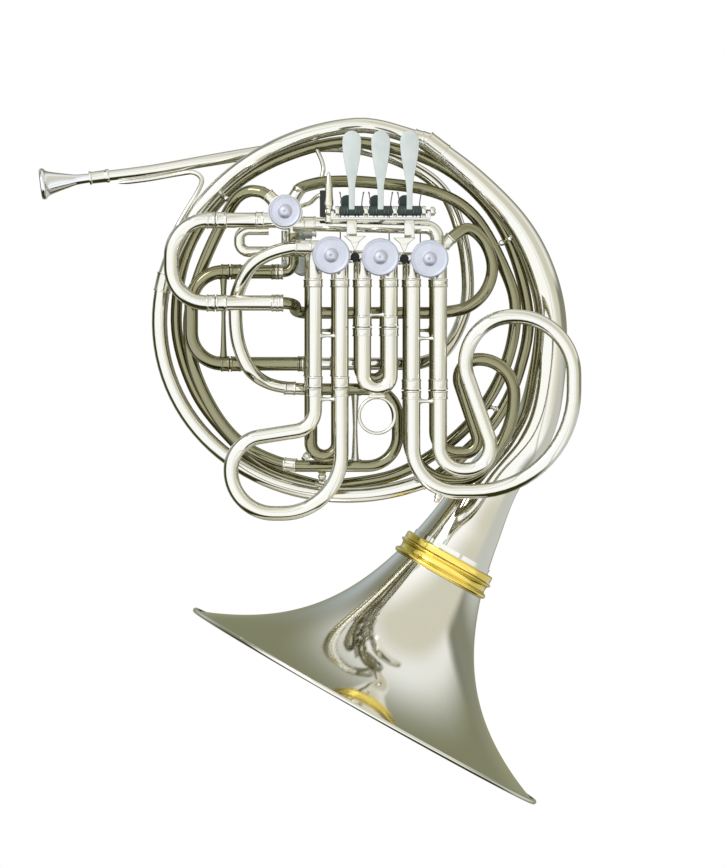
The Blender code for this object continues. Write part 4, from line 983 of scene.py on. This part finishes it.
class HORN_OT_slides(bpy.types.Operator):
    """Eight pull slides and the sleeves they run in"""
    bl_idname = "horn.slides"
    bl_label = "Slides"
    bl_options = {"REGISTER", "UNDO"}

    def leg(self, k, level, side):
        return VALVES[k].x + (F_SHIFT if level == F_LEVEL else B_SHIFT) + side * LEG_HALF

    def valve_slide(self, tag, k, level, radius, end, corners, brace_at, extra=()):
        xs = [self.leg(k, level, side) for side in (-1, 1)]
        tops = [(x, level, STUB_END - 0.35) for x in xs]
        ends = [(x, level, end) for x in xs]
        corners = [(x, level, z, r) for x, z, r in corners]
        bm = slide_pair(tag, tops, ends, corners, radius, brace_at)
        for make, spots in extra:
            make(bm, *spots)
        # The B-flat slides, behind the F slides, take the darkened nickel: painted shade.
        kind = "nickel" if level == F_LEVEL else "inner"
        finish("slide_%s_skin" % tag, bm, metal(kind), "slide_" + tag, ("slide_" + tag,))

    def bow(self, k, level, bottom):
        return [(self.leg(k, level, side), bottom, LEG_HALF - 0.01) for side in (-1, 1)]

    def bridge(self, level, radius, k, z):
        """A slide's own brace, between its crook tops."""
        a, b = self.leg(k, level, -1), self.leg(k, level, 1)
        return strut, ((a + radius * 0.94, level, z), (b - radius * 0.94, level, z), 1.5, 3.0)

    def execute(self, context):
        s = sizes()
        f, b, main, branch = s.f_slide / MM, s.b_slide / MM, s.main / MM, s.branch / MM
        left, right = self.leg(1, F_LEVEL, -1), self.leg(1, F_LEVEL, 1)
        self.valve_slide("f1", 1, F_LEVEL, f, -61.0,
                         [(left, -93.2, 17.0), (-100.2, -103.4, 26.0), (-100.2, -159.9, 33.5),
                          (right, -159.9, 46.4)], (44.5,), [self.bridge(F_LEVEL, f, 1, -70.5)])
        self.valve_slide("f2", 2, F_LEVEL, f, -13.5, self.bow(2, F_LEVEL, -62.0), (28.0,))
        left, right = self.leg(3, F_LEVEL, -1), self.leg(3, F_LEVEL, 1)
        self.valve_slide("f3", 3, F_LEVEL, f, -63.0,
                         [(left, -142.7, 34.5), (168.4, -142.7, 79.0), (168.4, -5.7, 45.6),
                          (right + 5.3, -5.7, 36.5), (right + 47.3, -125.9, 18.8),
                          (right, -125.9, 18.6)], (46.5,), [self.bridge(F_LEVEL, f, 3, -72.0)])
        self.valve_slide("b1", 1, B_LEVEL, b, -45.0, self.bow(1, B_LEVEL, -115.0), (40.0,))
        self.valve_slide("b2", 2, B_LEVEL, b, -13.5, self.bow(2, B_LEVEL, -55.0), (24.0,))
        left, right = self.leg(3, B_LEVEL, -1), self.leg(3, B_LEVEL, 1)
        self.valve_slide("b3", 3, B_LEVEL, b, -63.0,
                         [(left, -134.3, 34.0), (92.7, -134.3, 30.0), (121.8, -89.4, 70.0),
                          (121.8, -39.1, 27.0), (right + 12.7, -39.1, 15.0),
                          (right + 37.3, -112.6, 11.0), (right, -112.6, 17.0)], (40.0,))
        at = VALVES[0]
        top = at.z - 6.5
        bm = slide_pair("main", [(at.x - 16.85, MAIN_LEVEL, top), (-62.35, MAIN_LEVEL, MAIN_LOW)],
                        [(-112.0, MAIN_LEVEL, top), (-112.0, MAIN_LEVEL, MAIN_LOW)],
                        [(-147.0, MAIN_LEVEL, top, 28.0), (-147.0, MAIN_LEVEL, MAIN_LOW, 28.0)],
                        main, ())
        finish("slide_main_skin", bm, metal("nickel"), "slide_main", ("slide_main",))
        start = at.x + 6.5 - 11.35
        bm = slide_pair("tuning", [(start, BACK_LEVEL, TUNE_HIGH), (-41.95, BACK_LEVEL, TUNE_LOW)],
                        [(-101.0, BACK_LEVEL, TUNE_HIGH), (-101.0, BACK_LEVEL, TUNE_LOW)],
                        [(-132.0, BACK_LEVEL, TUNE_HIGH, 25.0),
                         (-132.0, BACK_LEVEL, TUNE_LOW, 25.0)],
                        branch, ())
        strut(bm, (-106.5, BACK_LEVEL, TUNE_HIGH - branch), (-106.5, BACK_LEVEL, TUNE_LOW + branch),
              1.9, 3.6, (1, 0, 0))
        # The tuning slide, at the back, takes the darkened nickel: painted shade.
        finish("slide_tuning_skin", bm, metal("inner"), "slide_tuning", ("slide_tuning",))
        self.ring()
        return {"FINISHED"}

    def ring(self):
        """Pull ring on slide 2 with its saddle."""
        x = VALVES[2].x + F_SHIFT
        z = -62.0 - sizes().f_slide / MM - 15.4
        bm = bmesh.new()
        circle = [(14.0 + 1.3 * math.cos(math.tau * k / 16), 1.3 * math.sin(math.tau * k / 16))
                  for k in range(16)]
        lathe(bm, circle, (x, F_LEVEL, z), (0, 1, 0), 80)
        box(bm, (x, F_LEVEL, z + 15.0), (13.0, 4.4, 3.0), 1.0, 4)
        finish("pull_ring_skin", bm, metal("fittings"), "slide_f2", ("pull_ring",))


class HORN_OT_levers(bpy.types.Operator):
    """Finger levers, their hinge rod, saddle and springs, and the thumb lever"""
    bl_idname = "horn.levers"
    bl_label = "Levers"
    bl_options = {"REGISTER", "UNDO"}

    def spatula(self, bm, x):
        """Paddle outline as a filled, bevelled curve standing on the barrel."""
        side = []
        length = SPATULA_TOP - ROD.z
        for k in range(49):
            f = 1 - (1 - k / 48) ** 1.6
            swell = min(1.0, max(0.0, (f - 0.2) / 0.65))
            w = 4.6 + 10.2 * swell * swell * (3 - 2 * swell)
            if f > 0.87:
                w *= math.sqrt(max(0.004, 1 - ((f - 0.87) / 0.1305) ** 2))
            side.append((w / 2, f * length))
        curve = bpy.data.curves.new("paddle", "CURVE")
        curve.dimensions = "2D"
        curve.fill_mode = "BOTH"
        curve.extrude = 0.55 * MM
        curve.bevel_depth = 0.4 * MM
        curve.bevel_resolution = 3
        curve.offset = -0.4 * MM
        line = curve.splines.new("POLY")
        outline = side + [(-w, h) for w, h in reversed(side)]
        line.points.add(len(outline) - 1)
        for point, (u, v) in zip(line.points, outline):
            point.co = (u * MM, v * MM, 0.0, 1.0)
        line.use_cyclic_u = True
        holder = link("paddle", curve)
        bpy.context.view_layer.update()
        mesh = bpy.data.meshes.new_from_object(holder.evaluated_get(
            bpy.context.evaluated_depsgraph_get()))
        part = bmesh.new()
        part.from_mesh(mesh)
        bpy.data.objects.remove(holder, do_unlink=True)
        bpy.data.curves.remove(curve)
        bpy.data.meshes.remove(mesh)
        bmesh.ops.remove_doubles(part, verts=part.verts, dist=1e-6)
        bmesh.ops.recalc_face_normals(part, faces=part.faces)
        part.transform(Matrix.Translation((x, ROD.y - BARREL_R + 0.6, ROD.z))
                       @ Matrix.Rotation(math.pi / 2, 4, "X") @ Matrix.Scale(1 / MM, 4))
        join(bm, part)

    def lever(self, k):
        x = LEVER_X + LEVER_PITCH * (k - 1)
        hub = VALVES[k].x + (HUB_R if k < 3 else -HUB_R)
        half = LEVER_PITCH / 2 - 2.0
        bm = bmesh.new()
        lathe(bm, washer(1.75, -half, 3.9, half, 0.5),
              (x, ROD.y, ROD.z + 0.5), (1, 0, 0), 48)
        finish("lever_%d_barrel" % k, bm, metal("cloth"), "lever_%d" % k)
        bm = bmesh.new()
        disc = [(0.0, -0.7), (5.4, -0.7), (5.4, 0.7), (0.0, 0.7)]
        lathe(bm, rounded(disc, 0.4), (x - 3.6, ROD.y + 4.0, ROD.z + 7.6), (0, 1, 0), 40)
        finish("lever_%d_pad" % k, bm, metal("cloth"), "lever_%d" % k)
        bm = bmesh.new()
        self.spatula(bm, x)
        arm = bends([(x, ROD.y + 2.6, ROD.z + 1.0), (x, ROD.y + 12.0, ROD.z + 3.0, 8.0),
                     (hub, -24.0, ROD.z + 3.0, 10.0), (hub, 0.0, ROD.z + 1.0)], 8)
        sweep(bm, arm, [2.0 - 0.5 * i / len(arm) for i in range(len(arm))], 20)
        ball = bmesh.new()
        bmesh.ops.create_uvsphere(ball, u_segments=24, v_segments=16, radius=2.6,
                                  matrix=Matrix.Translation(arm[-1]))
        join(bm, ball)
        finish("lever_%d_skin" % k, bm, metal("satin"), "lever_%d" % k, ("lever_%d" % k,))
        self.string(k, hub, arm[-1])
        self.spring(k, x)

    def string(self, k, x, top):
        """Cord from the lever's end to the drum, and the turns laid in the drum's groove."""
        at = VALVES[k]
        base = CASE_BACK + DRUM_BASE + GROOVE_AT
        swing, rise, count = 12.0, 1.8, 72
        tied, met = top + Vector((0, 0, -1.0)), Vector((x, base, ROD.z - 12.0))
        bm = bmesh.new()
        sweep(bm, [tied, met, Vector((x, base, at.z))], STRING_R, 8, wall=0.2, deep=0.1)
        run = finish("string_%d_run" % k, bm, metal("thread"), None)
        tuple(met * MM)
        tuple(tied * MM)
        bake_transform(run)
        bm = bmesh.new()
        turns = [Vector((at.x + GROOVE_R * math.cos(a), base - rise / 2 + rise * a / swing,
                         at.z + GROOVE_R * math.sin(a)))
                 for a in (swing * i / count for i in range(count + 1))]
        sweep(bm, turns, STRING_R, 8, wall=0.2, deep=0.1)
        finish("string_%d_wrap" % k, bm, metal("thread"), "rotor_%d" % k)

    def spring(self, k, x):
        """Hooked ends of the lever's coil spring, standing above the hinge rod."""
        bm = bmesh.new()
        for side, lean in ((-1, -1.2), (1, 1.2)):
            foot = x + side * (LEVER_PITCH / 2 - 3.6)
            wire = glide([(foot, ROD.y + 1.0, ROD.z + 3.0),
                          (foot + lean * 0.3, ROD.y - 1.0, ROD.z + 8.0),
                          (foot + lean, ROD.y - 1.4, ROD.z + 13.0),
                          (foot + lean * 1.5, ROD.y - 0.6, ROD.z + 15.0),
                          (foot + lean * 0.8, ROD.y + 0.6, ROD.z + 14.0)], 5)
            sweep(bm, wire, 0.45, 10, wall=0.2, deep=0.1)
            coil = [Vector((foot - side * (0.5 + 0.16 * i),
                            ROD.y + 3.95 * math.cos(i * math.pi / 8),
                            ROD.z + 3.95 * math.sin(i * math.pi / 8))) for i in range(33)]
            sweep(bm, coil, 0.42, 8, wall=0.2, deep=0.1)
        finish("spring_%d" % k, bm, metal("steel"), "lever_%d" % k)

    def frame(self):
        """Hinge rod, posts and the saddle plate with its feet."""
        x0, x1 = LEVER_X - LEVER_PITCH / 2 - 5.0, LEVER_X + LEVER_PITCH * 2.5 + 5.0
        bm = bmesh.new()
        lathe(bm, washer(0.0, x0 - 2.0, ROD_R, x1 + 2.0, 0.3),
              (0, ROD.y, ROD.z), (1, 0, 0), 24)
        finish("hinge_rod_skin", bm, metal("steel"), WRAP, ("hinge_rod",))
        bm = bmesh.new()

        def block(low, high, edge=0.5):
            low, high = Vector(low), Vector(high)
            box(bm, (low + high) / 2, high - low, edge)

        front = MAIN_LEVEL - sizes().branch / MM
        block((x0, ROD.y - 2.4, ROD.z - 6.6), (x1, ROD.y + 7.0, ROD.z - 4.8))
        for x in (x0, x1 - 2.4):
            block((x, ROD.y - 2.2, ROD.z - 6.0), (x + 2.4, ROD.y + 2.8, ROD.z + 0.2), 0.3)
        for x in (LEVER_X, LEVER_X + 2 * LEVER_PITCH):
            block((x - 4.0, ROD.y - 1.5, ROD.z - 7.0), (x + 4.0, front - 0.6, ROD.z - 4.9))
            block((x - 4.0, front - 2.6, ROD.z - 20.5), (x + 4.0, front - 0.3, ROD.z - 4.9))
        for k in range(4):
            x = LEVER_X + LEVER_PITCH * (k - 0.5)
            lathe(bm, washer(1.75, -1.5, 4.2, 1.5, 0.5),
                  (x, ROD.y, ROD.z), (1, 0, 0), 40)
            block((x - 1.2, ROD.y - 1.6, ROD.z - 6.0), (x + 1.2, ROD.y + 1.6, ROD.z - 2.4), 0.3)
        for x, way in ((x0 - 1.6, (-1, 0, 0)), (x1 + 1.6, (1, 0, 0))):
            lathe(bm, rounded([(0.0, -1.4), (3.7, -1.4), (3.7, 1.0), (2.6, 2.0), (0.0, 2.0)], 0.5),
                  (x, ROD.y, ROD.z), way, 40)
            screw(bm, Vector((x, ROD.y, ROD.z)) + Vector(way) * 2.2, way, 2.0)
        finish("lever_saddle_skin", bm, metal("fittings"), WRAP, ("lever_saddle",))

    def post(self):
        """Post at the left of the rod, with a pointed finial and its hooked stay."""
        x = -23.6
        bm = bmesh.new()
        outline = [(0.0, -20.0), (3.0, -20.0), (3.0, -8.0), (3.7, -6.6), (3.7, -4.0), (3.2, 0.0),
                   (3.0, 8.0), (2.2, 13.0), (1.2, 18.0), (0.0, 19.5)]
        lathe(bm, rounded(outline, 0.5), (x, ROD.y + 1.6, 88.0), (0, 0, 1), 40)
        stay = glide([(-27.0, -58.0, 72.0), (-28.5, -57.0, 80.0), (-29.6, -56.0, 88.5),
                      (-33.0, -54.0, 88.0), (-38.0, -50.0, 83.5), (-43.5, -46.0, 81.5),
                      (-48.0, -40.0, 81.0)], 5)
        sweep(bm, stay, 1.7, 20)
        finish("rod_post", bm, metal("fittings"))
        bm = bmesh.new()
        lathe(bm, washer(0.0, -11.0, 3.4, 10.0, 0.8),
              (x - 3.6, ROD.y + 3.4, 83.0), (0, 0, 1), 32)
        finish("rod_clamp", bm, metal("rubber"))

    def thumb(self):
        hub = VALVES[0].x + HUB_R
        bm = bmesh.new()
        lathe(bm, washer(1.75, -8.0, BARREL_R, 8.0, 0.4),
              THUMB_PIN, (1, 0, 0), 48)
        pin = THUMB_PIN
        arm = bends([pin + Vector((-0.6, -2.8, 0.3)), (pin.x - 2, pin.y - 10, pin.z + 1, 8.0),
                     (hub, 8.0, pin.z, 6.0), (hub, 0.0, pin.z)], 8)
        sweep(bm, arm, 1.9, 20)
        spoon = bmesh.new()
        path, radii = glide([(pin.x, pin.y + 1.0, pin.z - 2.0, 2.2),
                             (pin.x, pin.y + 2.0, pin.z - 14.0, 4.5),
                             (pin.x, pin.y + 5.0, pin.z - 27.0, 7.4),
                             (pin.x, pin.y + 6.6, pin.z - 32.0, 2.5)])
        sweep(spoon, path, radii, 32)
        bmesh.ops.scale(spoon, vec=(1.0, 0.42, 1.0), verts=spoon.verts,
                        space=Matrix.Translation((0, -pin.y - 3.0, 0)))
        join(bm, spoon)
        finish("thumb_lever_skin", bm, metal("satin"), "thumb_lever", ("thumb_lever",))
        foot_x = pin.x - 14.0
        foot_y = BACK_LEVEL + sizes().branch / MM + 0.35
        bm = bmesh.new()
        lathe(bm, washer(0.0, -16.0, ROD_R, 10.0, 0.3), pin,
              (1, 0, 0), 24)
        post = glide([(foot_x, foot_y, TUNE_HIGH), (foot_x, pin.y - 6, TUNE_HIGH + 6),
                      (foot_x, pin.y, pin.z - 8), (foot_x, pin.y, pin.z + 3)])
        sweep(bm, post, 2.4, 24)
        lathe(bm, rounded([(0.0, -1.2), (4.4, -1.2), (3.4, 0.8), (0.0, 0.8)], 0.4),
              (foot_x, foot_y + 0.9, TUNE_HIGH), (0, 1, 0), 32)
        screw(bm, pin + Vector((10.6, 0, 0)), (1, 0, 0), 2.2)
        finish("thumb_bracket_skin", bm, metal("fittings"), WRAP, ("thumb_bracket",))

    def execute(self, context):
        for k in (1, 2, 3):
            self.lever(k)
        self.frame()
        self.post()
        self.thumb()
        return {"FINISHED"}


class HORN_OT_braces(bpy.types.Operator):
    """Braces between the tubes, water nipples and the valve cluster's flanges"""
    bl_idname = "horn.braces"
    bl_label = "Braces"
    bl_options = {"REGISTER", "UNDO"}

    def execute(self, context):
        bm = bmesh.new()
        curved = glide([(-33.0, 2.0, 126.0), (-29.5, -4.0, 118.0), (-28.0, -8.0, 111.0),
                        (-29.2, -9.0, 105.0)], 6)
        sweep(bm, curved, 1.7, 20)
        ball_strut(bm, (-107.0, 3.0, 90.0), (-101.5, -12.0, 85.5))
        ball_strut(bm, (106.5, -2.0, 50.0), (119.0, 7.0, 56.0))
        ball_strut(bm, (-29.0, -8.0, -127.0), (-29.0, 5.0, -135.0), 1.7)
        ball_strut(bm, (103.0, 2.0, -76.0), (113.0, 6.0, -80.0))
        strut(bm, (-3.0, BACK_LEVEL, -67.0), (-3.0, BACK_LEVEL, -118.3), 2.1, 4.0, (1, 0, 0))
        finish("braces", bm, metal("fittings"))
        for slide, at, way in (("slide_f3", (62.0, F_LEVEL, -147.0), (-0.3, -0.4, -0.86)),
                               ("slide_b1", (-41.0, B_LEVEL - 3, -115.0), (-0.6, -0.5, -0.6))):
            bm = bmesh.new()
            lathe(bm, rounded([(0.0, -2.0), (3.0, -2.0), (3.0, 1.0), (2.2, 2.0), (2.2, 4.4),
                               (0.0, 4.4)], 0.4), at, way, 32)
            finish("nipple_" + slide, bm, metal("fittings"), slide)
        flanges, pads = bmesh.new(), bmesh.new()
        for k in (1, 2):
            x = (VALVES[k].x + VALVES[k + 1].x) / 2 - 0.6
            z = VALVES[k].z + 9.6
            for wide, low, front in ((18.0, 3.2, -0.6), (7.0, -1.6, -2.2)):
                part = bmesh.new()
                bmesh.ops.create_cone(part, cap_ends=True, segments=3, radius1=1.0, radius2=0.9,
                                      depth=1.0)
                bmesh.ops.bevel(part, geom=part.edges[:], offset=0.08, segments=3, profile=0.5,
                                affect="EDGES", material=-1)
                part.transform(Matrix.Translation((x, CASE_FRONT + 3.0 + front, z + low))
                               @ Matrix.Diagonal((wide / 1.73, 2.4, 5.0, 1))
                               @ Matrix.Rotation(math.pi / 2, 4, "X")
                               @ Matrix.Rotation(math.pi, 4, "Z"))
                join(flanges, part)
            lathe(pads, washer(0.0, 0.0, 3.6, 8.0, 1.2),
                  (x, CASE_FRONT + 5.0, z - 10.8), (0, 1, 0), 32)
        finish("flanges", flanges, metal("fittings"))
        finish("bumpers_front", pads, metal("rubber"))
        return {"FINISHED"}


class HORN_OT_carried(bpy.types.Operator):
    """Materials for the CAD nodes that stay on show: the rotors"""
    bl_idname = "horn.carried"
    bl_label = "Carried-over nodes"
    bl_options = {"REGISTER", "UNDO"}

    def execute(self, context):
        for tag in TAGS:
            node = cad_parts["rotor_" + tag]
            for place in node.material_slots:
                place.material = metal("leg")
        return {"FINISHED"}


class HORN_OT_stage(bpy.types.Operator):
    """White floor, one soft lamp, the surroundings and the camera"""
    bl_idname = "horn.stage"
    bl_label = "Stage"
    bl_options = {"REGISTER", "UNDO"}

    def sheet(self, name, size, matrix, colour, glow):
        bm = bmesh.new()
        bmesh.ops.create_grid(bm, x_segments=1, y_segments=1, size=size / 2, matrix=matrix)
        mesh = bpy.data.meshes.new(name)
        bm.to_mesh(mesh)
        bm.free()
        material = bpy.data.materials.new(name)
        material.use_nodes = True
        shader = material.node_tree.nodes["Principled BSDF"]
        shader.inputs["Base Color"].default_value = (*colour, 1.0)
        shader.inputs["Roughness"].default_value = 0.9
        shader.inputs["Emission Color"].default_value = (*colour, 1.0)
        shader.inputs["Emission Strength"].default_value = glow
        mesh.materials.append(material)
        obj = link(name, mesh)
        obj.visible_glossy = False
        obj.visible_diffuse = False

    def lamp(self, name, place, aim, size, power):
        data = bpy.data.lights.new(name, "AREA")
        data.shape = "RECTANGLE"
        data.size, data.size_y = size
        data.energy = power
        obj = link(name, data)
        obj.location = place
        obj.rotation_euler = (Vector(aim) - Vector(place)).to_track_quat("-Z", "Y").to_euler()

    def surroundings(self, g):
        """What the metal mirrors, by direction; the camera itself sees plain white.

        In front, white turns to tan up and to the right, with a dark seam between them. Behind,
        a dim room under a sky that is dimmer to the left, and a paler patch to the right.
        """
        axes = g.tree.nodes.new("ShaderNodeSeparateXYZ")
        g.tree.links.new(g.node("ShaderNodeTexCoord").socket, axes.inputs[0])
        x, y, z = (Value(g, out) for out in axes.outputs)
        slant = x * 0.72 + z * 0.55
        white, tan = (1.14, 1.17, 1.20, 1.0), (0.72, 0.71, 0.61, 1.0)
        front = g.mix(g.smoothstep(slant, 0.16, 0.60), white, tan)
        seam = g.smoothstep(slant, 0.12, 0.15) * (1.0 - g.smoothstep(slant, 0.16, 0.20))
        front = g.mix(seam * 0.6, front, (0.34, 0.35, 0.31, 1.0))
        rear = g.mix(g.smoothstep(y, 0.30, 0.95), (0.030, 0.032, 0.010, 1.0),
                     (0.30, 0.30, 0.19, 1.0))
        sky = g.mix(g.smoothstep(y, 0.05, 0.80), (0.92, 0.94, 0.94, 1.0), (0.24, 0.25, 0.16, 1.0))
        shade = g.mix(g.smoothstep(y, 0.30, 0.85), (0.26, 0.27, 0.21, 1.0), (0.52, 0.58, 0.64, 1.0))
        sky = g.mix(g.smoothstep(x, -0.50, 0.05), shade, sky)
        rear = g.mix(g.smoothstep(z, 0.10, 0.30), rear, sky)
        throat = g.mix(g.smoothstep(0.0 - z, 0.0, 0.20), (0.26, 0.27, 0.21, 1.0),
                       (0.62, 0.64, 0.62, 1.0))
        right = g.smoothstep(x, 0.25, 0.45) * (1.0 - g.smoothstep(z, 0.10, 0.30))
        rear = g.mix(right, rear, throat)
        colour = g.mix(g.smoothstep(y, -0.34, 0.0), front, rear)
        low = g.smoothstep(0.0 - z, 0.62, 0.80)
        colour = g.mix(low, colour, (0.035, 0.035, 0.008, 1.0))
        seen = g.node("ShaderNodeLightPath")
        g.set("Color", g.mix(seen, colour, (1.0, 1.0, 1.0, 1.0)))
        g.set("Strength", 1.0)

    def execute(self, context):
        scene = bpy.context.scene
        scene.view_settings.view_transform = "Standard"
        scene.world = bpy.data.worlds.new("studio")
        self.surroundings(Graph("studio", scene.world))
        self.sheet("floor", FLOOR_SIZE, Matrix.Translation((0, 0, FLOOR_Z)), (FLOOR_GREY,) * 3,
                   FLOOR_GLOW)
        self.lamp("key", (-1.2, -1.6, 1.2), (0, 0, -0.1), (0.9, 0.9), 9.0)
        data = bpy.data.cameras.new("camera")
        camera = link("camera", data)
        camera.location = CAMERA_AT
        camera.rotation_euler = (math.pi / 2, 0.0, 0.0)
        data.lens = CAMERA_LENS
        data.sensor_width = 36.0
        data.clip_start, data.clip_end = 0.05, 50.0
        scene.camera = camera
        return {"FINISHED"}


class HORN_PT_panel(bpy.types.Panel):
    """The horn's settings and its operators, in building order"""
    bl_label = "French Horn"
    bl_idname = "HORN_PT_panel"
    bl_space_type = "VIEW_3D"
    bl_region_type = "UI"
    bl_category = "Horn"

    def draw(self, context):
        for group in (context.scene.horn_sizes, context.scene.horn_colours):
            for name in group.__annotations__:
                self.layout.prop(group, name)
        for operator in OPERATORS:
            self.layout.operator(operator.bl_idname)


OPERATORS = (HORN_OT_coil, HORN_OT_leadpipe, HORN_OT_bell, HORN_OT_valves, HORN_OT_runs,
             HORN_OT_slides, HORN_OT_levers, HORN_OT_braces, HORN_OT_carried, HORN_OT_stage)
CLASSES = (HornSizes, HornColours, *OPERATORS, HORN_PT_panel)


def register():
    for item in CLASSES:
        bpy.utils.register_class(item)
    bpy.types.Scene.horn_sizes = PointerProperty(type=HornSizes)
    bpy.types.Scene.horn_colours = PointerProperty(type=HornColours)


def unregister():
    del bpy.types.Scene.horn_colours
    del bpy.types.Scene.horn_sizes
    for item in reversed(CLASSES):
        bpy.utils.unregister_class(item)


def main():
    register()
    for step in ("coil", "leadpipe", "bell", "valves", "runs", "slides", "levers", "braces",
                 "carried", "stage"):
        if getattr(bpy.ops.horn, step)() != {"FINISHED"}:
            raise RuntimeError("horn.%s did not finish" % step)
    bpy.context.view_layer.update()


if __name__ == "__main__":
    main()
